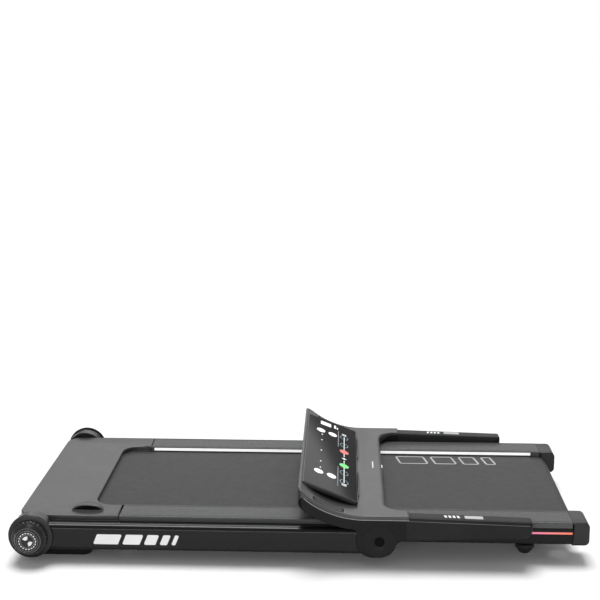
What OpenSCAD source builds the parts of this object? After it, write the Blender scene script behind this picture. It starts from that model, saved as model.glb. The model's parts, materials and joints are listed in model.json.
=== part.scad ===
// Folding home treadmill, drawn parked: a low running deck, two uprights hinged at its front
// corners and laid back along its sides, and a console with two handrails hinged at their tops.
// Millimetres. +X points to the rear of the deck, -Y is the walker's left, +Z is up. The origin
// is on the floor, below the middle of the outline. Right-hand pieces are modelled and
// left-hand ones are their mirror images.

/* [Base] */
// Length from the front of the hub discs to the back of the end caps
overall_l = 1395; // [1150:5:1700]
// Width across the outer faces of the side covers
base_w = 614; // [540:2:740]
// Width of each foot rail
rail_w = 80; // [60:1:96]
// Height of the top of the foot rails above the floor
rail_z = 104; // [98:1:125]
// Depth of the foot rails and of the sides of the motor hood
rail_t = 14; // [12:1:18]
// Height of the underside of the side covers
side_z = 48; // [40:1:52]
// Thickness of the side covers
cover_t = 5; // [4:0.5:8]
// Thickness of the steel side beams
beam_t = 25; // [18:1:32]
// Length of the motor hood along its sides
hood_l = 249; // [230:1:300]
// Distance from the front of the hub discs back to the nose of the hood
nose_gap = 12; // [4:1:20]
// Length of the cut-out in the hood where the belt comes out
cutout_l = 73; // [60:1:88]
// Radius of the front corners of that cut-out
cutout_r = 45; // [20:1:55]
// Length of the end caps
cap_l = 42; // [38:1:60]
// Wall thickness of the plastic covers
wall = 3; // [2:0.5:3.5]

/* [Running gear] */
// Width of the running belt
belt_w = 436; // [380:2:440]
// Thickness of the running belt
belt_t = 1.8; // [1.4:0.1:2.4]
// Thickness of the running board
deck_t = 16; // [12:1:18]
// Radius of the rollers
roller_r = 20; // [18:0.5:21]
// Radius of the roller axles
axle_r = 8; // [6:0.5:9]
// Radius of the roller bearings
bearing_r = 17; // [14:0.5:17.5]

/* [Drive] */
// Radius of the motor
motor_r = 34; // [26:1:35]
// Length of the motor
motor_l = 180; // [140:2:200]
// Radius of the motor shaft
shaft_r = 6; // [4:0.5:8]
// Radius of the pulley on the motor
motor_pulley_r = 12; // [10:0.5:16]
// Radius of the pulley on the front roller
roller_pulley_r = 27; // [24:0.5:28]
// Width of the ribbed drive belt
drive_belt_w = 14; // [10:1:16]

/* [Uprights] */
// Distance between the lower hinge and the console hinge
upright_l = 836; // [700:2:1000]
// Width of the upright tube along the deck's side view
tube_w = 64; // [56:1:72]
// Thickness of the upright tube across the treadmill
tube_t = 37; // [30:1:44]
// Wall of the upright tube
tube_wall = 2.5; // [1.5:0.5:4]
// Height of both hinges above the floor when parked
hub_z = 66; // [60:1:72]
// Radius of the disc at the foot of each upright
hub_r = 54; // [51:1:56]
// Radius of the hinge drums
drum_r = 50; // [44:1:50]
// Radius of the hinge bolts
pivot_r = 10; // [8:0.5:12]

/* [Console] */
// Height of the top of the console's crossbar when parked
bar_z = 130; // [126:1:150]
// Radius of the upward sweep of the console towards its front tip
sweep_r = 220; // [200:5:260]
// Distance from the console hinge forward to the front tip
tip_l = 195; // [180:1:205]
// Depth of the side arms
arm_t = 36; // [28:1:40]
// Radius of the round boss on each side arm
boss_r = 41; // [38:1:43]
// Length of each hand grip
grip_l = 292; // [240:2:380]
// Height of a grip at its front end
grip_h = 60; // [50:1:60]
// Height of a grip at its rear end
grip_end_h = 42; // [34:1:46]
// Width of the display panel
display_w = 568; // [460:2:580]
// Length of the display panel from front to back
display_l = 146; // [130:1:150]
// Thickness of the display panel
display_t = 10; // [8:0.5:12]

/* [Fits] */
// Radial clearance of a shaft that turns in a hole
running = 0.05; // [0.02:0.01:0.08]
// Gap between covers that meet and round parts that pass
gap = 0.3; // [0.2:0.1:0.6]
// Gap between the uprights and the base, and between the console and what it passes
swing_gap = 2; // [1.5:0.5:4]

/* [Hidden] */
$fn = 96;

// Places along X
hub_x = -overall_l / 2 + hub_r;
pivot_x = hub_x + upright_l;
nose_x = -overall_l / 2 + nose_gap;
seam_x = nose_x + hood_l;
rear_x = overall_l / 2;
cap_x = rear_x - cap_l;
cover_x = hub_x + hub_r + 4;
// Places across Y, on the right-hand side
half_w = base_w / 2;
rail_in = half_w - rail_w;
beam_out = half_w - cover_t;
beam_in = beam_out - beam_t;
upright_in = half_w + swing_gap;
upright_out = upright_in + tube_t;
skirt_t = 5.5;
console_out = upright_out + gap + skirt_t;
lap_y = upright_in + tube_t / 2;
// Heights
deck_z = rail_z - rail_t;
beam_z = side_z + 4;
beam_h = deck_z - beam_z;
cushion_t = 2;
cross_h = deck_z - deck_t - cushion_t - beam_z;
axle_z = deck_z - roller_r;
// Running gear
front_axle_x = hub_x + 112;
rear_axle_x = rear_x - 47;
roller_hw = belt_w / 2 + 3;
belt_in_r = roller_r + gap;
belt_out_r = belt_in_r + belt_t;
bearing_w = 10;
pulley_w = drive_belt_w + 2;
pulley_y = roller_hw + 0.5;
// Motor
pan_z = 10;
pan_hw = pulley_y + pulley_w + 0.8 + wall;
mount_t = 4;
motor_x = hub_x + 18;
motor_z = pan_z + wall + mount_t + motor_r + 1;
motor_y0 = -motor_l / 2 + 10;
pulley_gap_x = front_axle_x - motor_x;
pulley_gap_z = axle_z - motor_z;
pulley_gap = sqrt(pow(pulley_gap_x, 2) + pow(pulley_gap_z, 2));
drive_belt_t = 2.2;
cross_x = [seam_x + 45, (seam_x + cap_x) / 2, cap_x - 165];
// Inlet, switch and breaker in the tray's front wall
front_wall_x = nose_x + wall;
inlet_y = 150;
inlet_z = 40;
switch_y = 105;
breaker_y = 70;
rocker_pivot_x = front_wall_x + 8;
// Scoop, light strip and rear feet
hood_scoop_x = seam_x - 83;
hood_scoop_y = -half_w + 32;
scoop_r = 39;
scoop_h = 14;
light_z = (side_z + rail_z) / 2 + 1;
light_h = 5;
foot_x = rear_x - 144;
foot_y = 235;
foot_top = beam_z + 12;
// Hub and knob
flange_t = 6;
knob_y = upright_out + flange_t + gap;
knob_l = 30;
knob_r = 43;
knob_face_r = 26;
bracket_in = beam_in - 7;
bracket_l = 138;
foot_round = 18;
wheel_r = 21;
wheel_w = 20;
wheel_x = hub_x - 18;
wheel_z = wheel_r + 2;
wheel_y = bracket_in - wheel_w - 2;
// Console
sweep_x = pivot_x - 36;
sweep_z = bar_z + sweep_r;
tip_x = pivot_x - tip_l;
bar_rear_x = pivot_x + 16;
wing_x = pivot_x + 70;
bar_under_z = rail_z + swing_gap + 1;
eye_r = tube_w / 2 + 3;
arm_under_z = hub_z + eye_r + swing_gap;
tube_z = hub_z - 4;
wing_in = upright_in - 0.05;
nose_r = 26;
corner_r = wing_x - bar_rear_x - 2;
display_tilt = 21.3;
display_x = pivot_x - 50;
display_z = bar_z + 9;
glass_t = 2;
grip_top_drop = 8;
grip_z = bar_z - wall;
handle_r = 12;
handle_z = grip_z - grip_h / 2;
handle_y = (upright_in + console_out) / 2;
speaker_x = pivot_x - 122;
speaker_l = 74;
speaker_w = 24;
grip_fall = atan(grip_top_drop / grip_l);
pulse_x = 132;
pulse_l = 44;
pulse_w = 20;
pulse_t = 1.5;
socket_y = 26;
lip_in = 57;
lip_out = 232;
lip_h = 5;
// Concave rounds where the boss of a side arm runs into the arm, behind it and before it; the
// skirt's boss is drawn out forwards over the end of the upright's tube
rear_round = 14;
rear_round_z = grip_z - grip_h - rear_round;
rear_round_x = pivot_x + sqrt(pow(boss_r + rear_round, 2) - pow(rear_round_z - hub_z, 2));
front_round = 12;
skirt_lead = 15;
skirt_x = pivot_x - skirt_lead;
reach_a = boss_r + front_round;
reach_b = sweep_r + arm_t + front_round;
span_x = sweep_x - skirt_x;
span_z = sweep_z - hub_z;
span_l = sqrt(pow(span_x, 2) + pow(span_z, 2));
round_on = (pow(reach_a, 2) - pow(reach_b, 2) + pow(span_l, 2)) / (2 * span_l);
round_off = sqrt(pow(reach_a, 2) - pow(round_on, 2));
front_round_x = skirt_x + (round_on * span_x - round_off * span_z) / span_l;
front_round_z = hub_z + (round_on * span_z + round_off * span_x) / span_l;

// A round bar along Y from y0 to y1, centred on x, z
module bar_y(r, y0, y1, x = 0, z = 0) {
  translate([x, y0, z]) rotate([-90, 0, 0]) cylinder(h = y1 - y0, r = r);
}

// A ring along Y
module ring_y(r_out, r_in, y0, y1, x = 0, z = 0) {
  difference() {
    bar_y(r_out, y0, y1, x, z);
    bar_y(r_in, y0 - 1, y1 + 1, x, z);
  }
}

// A box from its lowest to its highest corner
module block(lo, hi) {
  translate(lo) cube([hi[0] - lo[0], hi[1] - lo[1], hi[2] - lo[2]]);
}

// Its children on the right, and their mirror image on the left
module pair() {
  children();
  mirror([0, 1, 0]) children();
}

// A flat rounded rectangle centred on the origin
module rounded_rect(w, h, r) {
  square([w - 2 * r, h], center = true);
  square([w, h - 2 * r], center = true);
  for (sx = [-1, 1], sy = [-1, 1])
    translate([sx * (w / 2 - r), sy * (h / 2 - r)]) circle(r);
}

// The outline that a belt takes round two pulleys, as a plate from y0 to y1
module belt_outline(xa, za, ra, xb, zb, rb, y0, y1) {
  d = sqrt(pow(xb - xa, 2) + pow(zb - za, 2));
  lean = atan2(zb - za, xb - xa);
  wrap = acos((ra - rb) / d);
  bar_y(ra, y0, y1, xa, za);
  bar_y(rb, y0, y1, xb, zb);
  translate([0, y1, 0]) rotate([90, 0, 0]) linear_extrude(y1 - y0) polygon([
    [xa + ra * cos(lean + wrap), za + ra * sin(lean + wrap)],
    [xa + ra * cos(lean - wrap), za + ra * sin(lean - wrap)],
    [xb + rb * cos(lean - wrap), zb + rb * sin(lean - wrap)],
    [xb + rb * cos(lean + wrap), zb + rb * sin(lean + wrap)]]);
}

// V-shaped ribs cut round a pulley of radius r, from y0 on
module pulley_grooves(r, y0, w, x, z) {
  pitch = 2.8;
  for (i = [0 : floor(w / pitch) - 1])
    translate([x, y0 + (i + 0.5) * pitch, z]) rotate([-90, 0, 0]) rotate_extrude()
      polygon([[r + 1, -1.6], [r + 1, 1.6], [r - 1.4, 0]]);
}

// The console's cross-section between two depths below its top surface: a curved stretch
// that rises to the front tip, then a level stretch back to x1
module console_slice(depth0, depth1, x1, y0, y1) {
  intersection() {
    ring_y(sweep_r + depth1, sweep_r + depth0, y0, y1, sweep_x, sweep_z);
    block([tip_x, y0 - 1, 0], [sweep_x, y1 + 1, sweep_z]);
  }
  block([sweep_x - 0.01, y0, bar_z - depth1], [x1, y1, bar_z - depth0]);
}

// The slab that the display panel fills, grown by grow on every side
module display_slab(grow) {
  translate([display_x, 0, display_z]) rotate([0, display_tilt, 0])
    block([-display_l - grow, -display_w / 2 - grow, -display_t - grow],
          [grow, display_w / 2 + grow, grow + 0.01]);
}

// ---- Frame ----

// Steel box beam along one side, drilled for both roller axles
module side_beam() {
  x0 = hub_x + drum_r + gap;
  x1 = rear_axle_x + 16;
  beam_wall = 2.5;
  color("dimgray") difference() {
    block([x0, beam_in, beam_z], [x1, beam_out, deck_z]);
    block([x0 - 1, beam_in + beam_wall, beam_z + beam_wall],
          [x1 + 1, beam_out - beam_wall, deck_z - beam_wall]);
    for (x = [front_axle_x, rear_axle_x])
      bar_y(axle_r, beam_in - 1, beam_out + 1, x, axle_z);
  }
}

// Box tubes from beam to beam under the running board, and one behind the motor
module cross_members() {
  tube = 30;
  color("dimgray") {
    for (x = cross_x)
      difference() {
        block([x, -beam_in, beam_z], [x + tube, beam_in, beam_z + cross_h]);
        block([x + 2, -beam_in - 1, beam_z + 2], [x + tube - 2, beam_in + 1, beam_z + cross_h - 2]);
      }
    difference() {
      block([hub_x + 60, -bracket_in, 19], [hub_x + 86, bracket_in, 35]);
      block([hub_x + 62, -bracket_in - 1, 21], [hub_x + 84, bracket_in + 1, 33]);
    }
  }
}

// Hinge bracket: a drum for the upright's hinge, cut level below the hood, on a foot block
module hub_bracket() {
  foot_x = hub_x + bracket_l;
  color("#2b2c2e") difference() {
    union() {
      difference() {
        bar_y(drum_r, bracket_in, half_w + swing_gap - gap, hub_x, hub_z);
        block([hub_x - drum_r - 1, bracket_in - 1, deck_z - gap], [hub_x + drum_r + 1, upright_in, sweep_z]);
      }
      difference() {
        block([hub_x + 6, bracket_in, 0], [foot_x, beam_out - 0.5, beam_z]);
        difference() {
          block([foot_x - foot_round, bracket_in - 1, -1], [foot_x + 1, half_w, foot_round]);
          bar_y(foot_round, bracket_in - 2, half_w + 1, foot_x - foot_round, foot_round);
        }
      }
    }
    bar_y(pivot_r, bracket_in + 5, half_w + swing_gap + 1, hub_x, hub_z);
    bar_y(5, bracket_in - 1, bracket_in + 12, wheel_x, wheel_z);
  }
}

// Hinge bolts, one a side, on which the uprights turn and the knobs are screwed
module pivot_bolts() {
  color("silver") pair()
    bar_y(pivot_r, bracket_in + 5, knob_y + knob_l - 12, hub_x, hub_z);
}

// ---- Running gear ----

// Board that the belt slides on
module running_board() {
  color("burlywood")
    block([front_axle_x + roller_r + 12, -rail_in - 5, deck_z - deck_t],
          [rear_axle_x - roller_r - 12, rail_in + 5, deck_z]);
}

// Rubber pads between the board and its cross members
module board_cushions() {
  color("#333333")
    for (x = cross_x, y = [90, 190], s = [-1, 1])
      translate([x + 15, s * y, beam_z + cross_h]) cylinder(h = cushion_t, r = 12);
}

// Endless running belt round both rollers
module running_belt() {
  hw = belt_w / 2;
  color("#4a4b4d") difference() {
    union() {
      bar_y(belt_out_r, -hw, hw, front_axle_x, axle_z);
      bar_y(belt_out_r, -hw, hw, rear_axle_x, axle_z);
      block([front_axle_x, -hw, axle_z - belt_out_r], [rear_axle_x, hw, axle_z + belt_out_r]);
    }
    bar_y(belt_in_r, -hw - 1, hw + 1, front_axle_x, axle_z);
    bar_y(belt_in_r, -hw - 1, hw + 1, rear_axle_x, axle_z);
    block([front_axle_x, -hw - 1, axle_z - belt_in_r], [rear_axle_x, hw + 1, axle_z + belt_in_r]);
  }
}

// Driven roller with its ribbed pulley on the right
module front_roller() {
  color("silver") difference() {
    union() {
      bar_y(roller_r, -roller_hw, pulley_y, front_axle_x, axle_z);
      bar_y(roller_pulley_r, pulley_y, pulley_y + pulley_w, front_axle_x, axle_z);
    }
    bar_y(bearing_r + running, -roller_hw - 1, pulley_y + pulley_w + 1, front_axle_x, axle_z);
    pulley_grooves(roller_pulley_r, pulley_y + 1, drive_belt_w, front_axle_x, axle_z);
  }
}

// Idle roller at the rear
module rear_roller() {
  color("silver")
    ring_y(roller_r, bearing_r + running, -roller_hw, roller_hw, rear_axle_x, axle_z);
}

// A fixed axle held in both beams
module roller_axle(x) {
  color("lightgray") bar_y(axle_r, -beam_out + 3, beam_out - 3, x, axle_z);
}

// Ball bearings between the axles and the rollers
module roller_bearings() {
  color("gainsboro") pair() for (x = [front_axle_x, rear_axle_x])
    ring_y(bearing_r, axle_r, roller_hw - bearing_w - 4, roller_hw - 4, x, axle_z);
}

// Screws that pull the rear axle back to tension and centre the belt
module axle_adjusters() {
  color("silver") pair() translate([rear_axle_x + axle_r, beam_in + beam_t / 2, axle_z]) {
    rotate([0, 90, 0]) cylinder(h = 26, r = 3.5);
    translate([26, 0, 0]) rotate([0, 90, 0]) cylinder(h = 5, r = 7, $fn = 6);
  }
}

// ---- Drive ----

// Motor casing with two end bells
module motor_body() {
  y1 = motor_y0 + motor_l;
  color("#3a3b3d") difference() {
    union() {
      bar_y(motor_r, motor_y0, y1, motor_x, motor_z);
      bar_y(motor_r - 8, motor_y0 - 12, y1 + 8, motor_x, motor_z);
    }
    bar_y(shaft_r + running, motor_y0 - 13, y1 + 9, motor_x, motor_z);
    for (a = [0 : 30 : 330])
      translate([motor_x, 0, motor_z]) rotate([0, a, 0])
        block([motor_r - 2, motor_y0 + 16, -2], [motor_r + 1, y1 - 16, 2]);
  }
}

// Cradle that carries the motor on the pan
module motor_mount() {
  z0 = pan_z + wall;
  color("gray") {
    block([motor_x - 40, motor_y0 + 5, z0], [hub_x + 57, motor_y0 + motor_l - 5, z0 + mount_t]);
    for (y = [motor_y0 + 6, motor_y0 + motor_l - 14])
      difference() {
        block([motor_x - 26, y, z0], [motor_x + 26, y + 8, motor_z - 14]);
        bar_y(motor_r, y - 1, y + 9, motor_x, motor_z);
      }
  }
}

// Motor shaft with its flywheel fan and ribbed pulley
module motor_rotor() {
  y1 = motor_y0 + motor_l;
  color("silver") difference() {
    union() {
      bar_y(shaft_r, motor_y0 - 20, pulley_y + pulley_w, motor_x, motor_z);
      bar_y(motor_r - 4, y1 + 12, y1 + 34, motor_x, motor_z);
      bar_y(motor_pulley_r, pulley_y, pulley_y + pulley_w, motor_x, motor_z);
    }
    pulley_grooves(motor_pulley_r, pulley_y + 1, drive_belt_w, motor_x, motor_z);
    for (a = [0 : 45 : 315])
      translate([motor_x, 0, motor_z]) rotate([0, a, 0])
        bar_y(4.5, y1 + 11, y1 + 35, motor_r - 13, 0);
  }
}

// Ribbed belt from the motor pulley to the roller pulley
module drive_belt() {
  y0 = pulley_y + 1;
  color("#222222") difference() {
    belt_outline(motor_x, motor_z, motor_pulley_r + gap + drive_belt_t,
                 front_axle_x, axle_z, roller_pulley_r + gap + drive_belt_t, y0, y0 + drive_belt_w);
    belt_outline(motor_x, motor_z, motor_pulley_r + gap,
                 front_axle_x, axle_z, roller_pulley_r + gap, y0 - 1, y0 + drive_belt_w + 1);
  }
}

// Motor controller: a circuit board on posts with a finned heat sink and its parts
module motor_controller() {
  x0 = hub_x - 32;
  y0 = -pan_hw + 12;
  z0 = pan_z + wall;
  board_l = 88;
  board_w = 110;
  color("darkgreen") {
    block([x0, y0, z0 + 6], [x0 + board_l, y0 + board_w, z0 + 8]);
    for (x = [x0 + 6, x0 + board_l - 6], y = [y0 + 6, y0 + board_w - 6])
      translate([x, y, z0]) cylinder(h = 6, r = 3);
    for (i = [0 : 2])
      translate([x0 + 18 + i * 22, y0 + 20, z0 + 8]) cylinder(h = 22, r = 9);
    block([x0 + 6, y0 + 46, z0 + 8], [x0 + 82, y0 + 96, z0 + 12]);
    for (i = [0 : 9])
      block([x0 + 6, y0 + 46 + i * 5.2, z0 + 12], [x0 + 82, y0 + 48 + i * 5.2, z0 + 34]);
  }
}

// ---- Covers ----

// The hood's outline in plan, drawn in by inset: round front corners, straight sides
module hood_plan(inset, z0, z1) {
  r = 42;
  hw = half_w - inset;
  x0 = nose_x + inset;
  for (s = [-1, 1])
    translate([x0 + r, s * (hw - r), z0]) cylinder(h = z1 - z0, r = r);
  block([x0 + r, -hw, z0], [seam_x - gap, hw, z1]);
  block([x0, -hw + r, z0], [x0 + r + 1, hw - r, z1]);
}

// The belt cut-out's outline in plan, grown by grow
module cutout_plan(grow, z0, z1) {
  r = cutout_r + grow;
  hw = rail_in + grow;
  x0 = seam_x - cutout_l - grow;
  for (s = [-1, 1])
    translate([x0 + r, s * (hw - r), z0]) cylinder(h = z1 - z0, r = r);
  block([x0 + r, -hw, z0], [seam_x + 1, hw, z1]);
  block([x0, -hw + r, z0], [x0 + r + 1, hw - r, z1]);
}

// Motor hood: a shallow moulded cover with a front apron and a cut-out for the belt
module motor_hood() {
  lip = 6;
  color("#5a5b5d") difference() {
    union() {
      difference() {
        hood_plan(0, deck_z, rail_z);
        hood_plan(wall, deck_z - 1, rail_z - wall);
      }
      difference() {
        cutout_plan(wall, rail_z - lip, rail_z);
        block([nose_x, -half_w, 0], [nose_x + 20, half_w, rail_z + 1]);
      }
      block([nose_x, -bracket_in + wheel_w + 6, 62], [nose_x + wall, bracket_in - wheel_w - 6, deck_z]);
    }
    cutout_plan(0, 0, rail_z + 1);
    block([seam_x - gap, -half_w, 0], [seam_x + 2 * cutout_r, half_w, rail_z + 1]);
    translate([hood_scoop_x, hood_scoop_y + 18, rail_z - wall - 1]) cylinder(h = wall + 2, r = 13);
  }
}

// Eyelid-shaped air scoop on the hood: a domed shell, open towards the left
module hood_scoop() {
  ball = (scoop_r * scoop_r + scoop_h * scoop_h) / (2 * scoop_h);
  color("#5a5b5d") translate([hood_scoop_x, hood_scoop_y, rail_z]) intersection() {
    difference() {
      translate([0, 0, scoop_h - ball]) sphere(r = ball);
      translate([0, 0, scoop_h - ball]) sphere(r = ball - 2.5);
    }
    block([-scoop_r, 3, 0], [scoop_r, scoop_r, scoop_h + 1]);
  }
}

// Tray under the motor, with the front wall that holds the inlet and the switch
module belly_pan() {
  x0 = nose_x + wall;
  x1 = front_axle_x + 60;
  color("#2b2c2e") difference() {
    block([x0, -pan_hw, pan_z], [x1, pan_hw, 62]);
    block([x0 + wall, -pan_hw + wall, pan_z + wall], [x1 + 1, pan_hw - wall, 63]);
    block([hub_x + 40, -pan_hw - 1, 18], [x1 + 1, pan_hw + 1, 63]);
    block([x0 - 1, inlet_y - 16, inlet_z - 12], [x0 + wall + 1, inlet_y + 16, inlet_z + 12]);
    block([x0 - 1, switch_y - 11, inlet_z - 15], [x0 + wall + 1, switch_y + 11, inlet_z + 15]);
    translate([x0 - 1, breaker_y, inlet_z]) rotate([0, 90, 0]) cylinder(h = wall + 2, r = 9);
  }
}

// Pan-head screws that hold the tray
module pan_screws() {
  color("silver") for (x = [front_wall_x + 12, front_axle_x + 48], y = [-200, -60, 60, 200])
    translate([x, y, pan_z - 2]) cylinder(h = 2, r = 4);
}

// Mains inlet: a shrouded socket with three blades
module power_inlet() {
  color("#1c1c1e") {
    difference() {
      block([front_wall_x - 2, inlet_y - 16, inlet_z - 12], [front_wall_x + 22, inlet_y + 16, inlet_z + 12]);
      block([front_wall_x - 3, inlet_y - 12.5, inlet_z - 8.5],
            [front_wall_x + 18, inlet_y + 12.5, inlet_z + 8.5]);
    }
    for (p = [[-7, -2], [7, -2], [0, 3]])
      block([front_wall_x + 4, inlet_y + p[0] - 1, inlet_z + p[1] - 2],
            [front_wall_x + 18, inlet_y + p[0] + 1, inlet_z + p[1] + 2]);
  }
}

// Fixed housing of the mains switch, with its hinge pin
module switch_body() {
  color("#1c1c1e") {
    difference() {
      block([front_wall_x - 2, switch_y - 11, inlet_z - 15],
            [front_wall_x + 20, switch_y + 11, inlet_z + 15]);
      block([front_wall_x - 3, switch_y - 8, inlet_z - 12], [front_wall_x + 17, switch_y + 8, inlet_z + 12]);
    }
    bar_y(1.5, switch_y - 8, switch_y + 8, rocker_pivot_x, inlet_z);
  }
}

// Rocker of the mains switch: a wedge that tips about the pin
module rocker_switch() {
  lean = 7;
  color("#b3202a") difference() {
    translate([rocker_pivot_x, 0, inlet_z]) rotate([0, lean, 0])
      block([-10, switch_y - 7.6, -10.4], [3, switch_y + 7.6, 10.4]);
    bar_y(1.5 + running, switch_y - 9, switch_y + 9, rocker_pivot_x, inlet_z);
  }
}

// Collar of the overload breaker
module breaker_collar() {
  color("#1c1c1e") translate([front_wall_x, breaker_y, inlet_z]) rotate([0, 90, 0]) difference() {
    union() {
      cylinder(h = 18, r = 9);
      translate([0, 0, -2]) cylinder(h = 2, r = 11);
    }
    translate([0, 0, -3]) cylinder(h = 16, r = 5);
  }
}

// Reset button of the breaker, pressed inwards
module breaker_button() {
  color("#d8d8d8") translate([front_wall_x - 6, breaker_y, inlet_z]) rotate([0, 90, 0])
    cylinder(h = 14, r = 5 - running);
}

// Foot rail: a channel with a flat top that the walker stands on beside the belt
module foot_rail() {
  color("#6b6c6e") difference() {
    block([seam_x, rail_in, deck_z], [cap_x, half_w, rail_z]);
    block([seam_x - 1, rail_in + wall, deck_z - 1], [cap_x + 1, half_w - wall, rail_z - wall]);
  }
}

// Side cover: an extruded skirt over the beam with a groove for the light strip
module side_cover() {
  color("#2b2c2e") difference() {
    block([cover_x, beam_out, side_z], [cap_x, half_w, deck_z]);
    block([cover_x - 1, half_w - 1.5, light_z - light_h / 2],
          [cap_x + 1, half_w + 1, light_z + light_h / 2]);
  }
}

// Light strips let into both side covers
module side_light_strips() {
  color("#e0607a") pair()
    block([cover_x, half_w - 1.5, light_z - light_h / 2], [cap_x, half_w - 0.3, light_z + light_h / 2]);
}

// White trim strips on the inner faces of the foot rails
module inner_light_strips() {
  color("white") pair()
    block([seam_x + 8, rail_in - 1.5, deck_z + 4], [cap_x - 26, rail_in, rail_z - 3]);
}

// End cap: a hollow moulding over the end of a rail, rounded at its top rear edge
module end_cap() {
  r = 14;
  y0 = rail_in - 5;
  color("#333436") difference() {
    block([cap_x, y0, side_z - 2], [rear_x, half_w, rail_z]);
    block([cap_x - 1, y0 + wall, side_z + 1], [rear_x - wall, half_w - wall, rail_z - wall]);
    difference() {
      block([rear_x - r, y0 - 1, rail_z - r], [rear_x + 1, half_w + 1, rail_z + 1]);
      bar_y(r, y0 - 2, half_w + 2, rear_x - r, rail_z - r);
    }
    bar_y(belt_out_r + 2, y0 - 1, y0 + wall + 1, rear_axle_x, axle_z);
    translate([rear_x - wall - 1, beam_in + beam_t / 2, axle_z]) rotate([0, 90, 0])
      cylinder(h = wall + 2, r = 8);
  }
}

// Rubber feet under the rear, each a stem with a tapered pad
module rear_feet() {
  color("#1c1c1e") pair() translate([foot_x, foot_y, 0]) {
    cylinder(h = 16, r1 = 12, r2 = 23);
    translate([0, 0, 16]) cylinder(h = 8, r = 23);
    translate([0, 0, 24]) cylinder(h = foot_top - 24, r = 9);
    translate([-14, 0, foot_top - 3]) block([0, 0, 0], [28, beam_in - foot_y, 3]);
  }
}

// Transport wheel with a rounded tread
module transport_wheel() {
  r = 3;
  color("#1c1c1e") translate([wheel_x, wheel_y, wheel_z]) rotate([-90, 0, 0]) difference() {
    union() {
      cylinder(h = wheel_w, r = wheel_r - r);
      translate([0, 0, r]) cylinder(h = wheel_w - 2 * r, r = wheel_r);
      for (z = [r, wheel_w - r])
        translate([0, 0, z]) rotate_extrude() translate([wheel_r - r, 0]) circle(r);
    }
    translate([0, 0, -1]) cylinder(h = wheel_w + 2, r = 5 + running);
  }
}

// Axles of the transport wheels, with a head on the inner end
module wheel_axles() {
  color("silver") pair() {
    bar_y(5, wheel_y - 0.5, bracket_in + 12, wheel_x, wheel_z);
    bar_y(8, wheel_y - 3, wheel_y - 0.5, wheel_x, wheel_z);
  }
}

// ---- Uprights ----

// Lock knob: a stepped dial with a scalloped grip ring, screwed on the hinge bolt
module lock_knob() {
  step_l = 14;
  color("#3a3b3d") translate([hub_x, knob_y, hub_z]) rotate([-90, 0, 0]) difference() {
    union() {
      cylinder(h = step_l, r = knob_r);
      translate([0, 0, step_l]) cylinder(h = knob_l - step_l - 3, r1 = knob_r - 6, r2 = knob_face_r + 4);
      translate([0, 0, knob_l - 3]) cylinder(h = 3, r = knob_face_r);
    }
    translate([0, 0, -1]) cylinder(h = knob_l - 10, r = pivot_r + running);
    for (a = [0 : 15 : 345])
      rotate([0, 0, a]) translate([knob_r + 1.5, 0, 3]) cylinder(h = step_l, r = 3, $fn = 24);
  }
}

// Hub at the foot of an upright: a drum with an outer disc, on the hinge bolt
module lower_hub() {
  color("#2b2c2e") difference() {
    union() {
      bar_y(drum_r, upright_in, upright_out, hub_x, hub_z);
      bar_y(hub_r, upright_out, upright_out + flange_t, hub_x, hub_z);
    }
    bar_y(pivot_r + running, upright_in - 1, upright_out + flange_t + 1, hub_x, hub_z);
  }
}

// Upright: a rounded tube with a solid end and the flat eye of the console hinge
module upright() {
  end_x = pivot_x - boss_r - swing_gap;
  mid_y = (upright_in + upright_out) / 2;
  edge_r = 12;
  color("#2b2c2e") difference() {
    union() {
      translate([hub_x, mid_y, tube_z]) rotate([0, 90, 0]) difference() {
        linear_extrude(end_x - hub_x) rounded_rect(tube_w, tube_t, edge_r);
        translate([0, 0, -1]) linear_extrude(end_x - hub_x - 24)
          rounded_rect(tube_w - 2 * tube_wall, tube_t - 2 * tube_wall, edge_r - tube_wall);
      }
      bar_y(eye_r, upright_in, lap_y - gap, pivot_x, hub_z);
      block([end_x - 20, upright_in, hub_z - eye_r + edge_r], [pivot_x, lap_y - gap, hub_z + eye_r - edge_r]);
    }
    bar_y(drum_r, upright_in - 1, upright_out + 1, hub_x, hub_z);
    bar_y(pivot_r + running, upright_in - 1, upright_out + 1, pivot_x, hub_z);
  }
}

// ---- Console ----

// Cuts the console's front corners round in plan
module nose_corners() {
  pair() difference() {
    block([tip_x - 1, console_out - nose_r, 0], [tip_x + nose_r, console_out + 1, sweep_z]);
    translate([tip_x + nose_r, console_out - nose_r, -1]) cylinder(h = sweep_z + 2, r = nose_r);
  }
}

// Upper shell of the console: the swept top, its front and rear edges and both wings
module console_top() {
  inner = corner_r + bar_rear_x;
  color("#6b6c6e") difference() {
    union() {
      console_slice(0, wall, bar_rear_x, -console_out, console_out);
      block([bar_rear_x - wall, -wing_in, bar_under_z], [bar_rear_x, wing_in, bar_z]);
      intersection() {
        console_slice(0, arm_t, sweep_x, -wing_in, wing_in);
        block([tip_x, -wing_in, 0], [tip_x + wall, wing_in, sweep_z]);
      }
      pair() {
        block([bar_rear_x - 0.01, wing_in, bar_z - wall], [wing_x, console_out, bar_z]);
        difference() {
          block([bar_rear_x - 0.01, wing_in - corner_r, bar_under_z], [inner, wing_in + 0.01, bar_z]);
          translate([inner, wing_in - corner_r, 0]) cylinder(h = bar_z + 1, r = corner_r);
          difference() {
            block([bar_rear_x - 1, wing_in - corner_r - 1, 0], [inner, wing_in - wall, bar_z - wall]);
            translate([inner, wing_in - corner_r, 0]) cylinder(h = bar_z + 1, r = corner_r + wall);
          }
        }
      }
    }
    display_slab(0.2);
    pair() speaker_window(0.2, -1, wall + 1);
    socket_block(0.1);
    nose_corners();
  }
}

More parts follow.
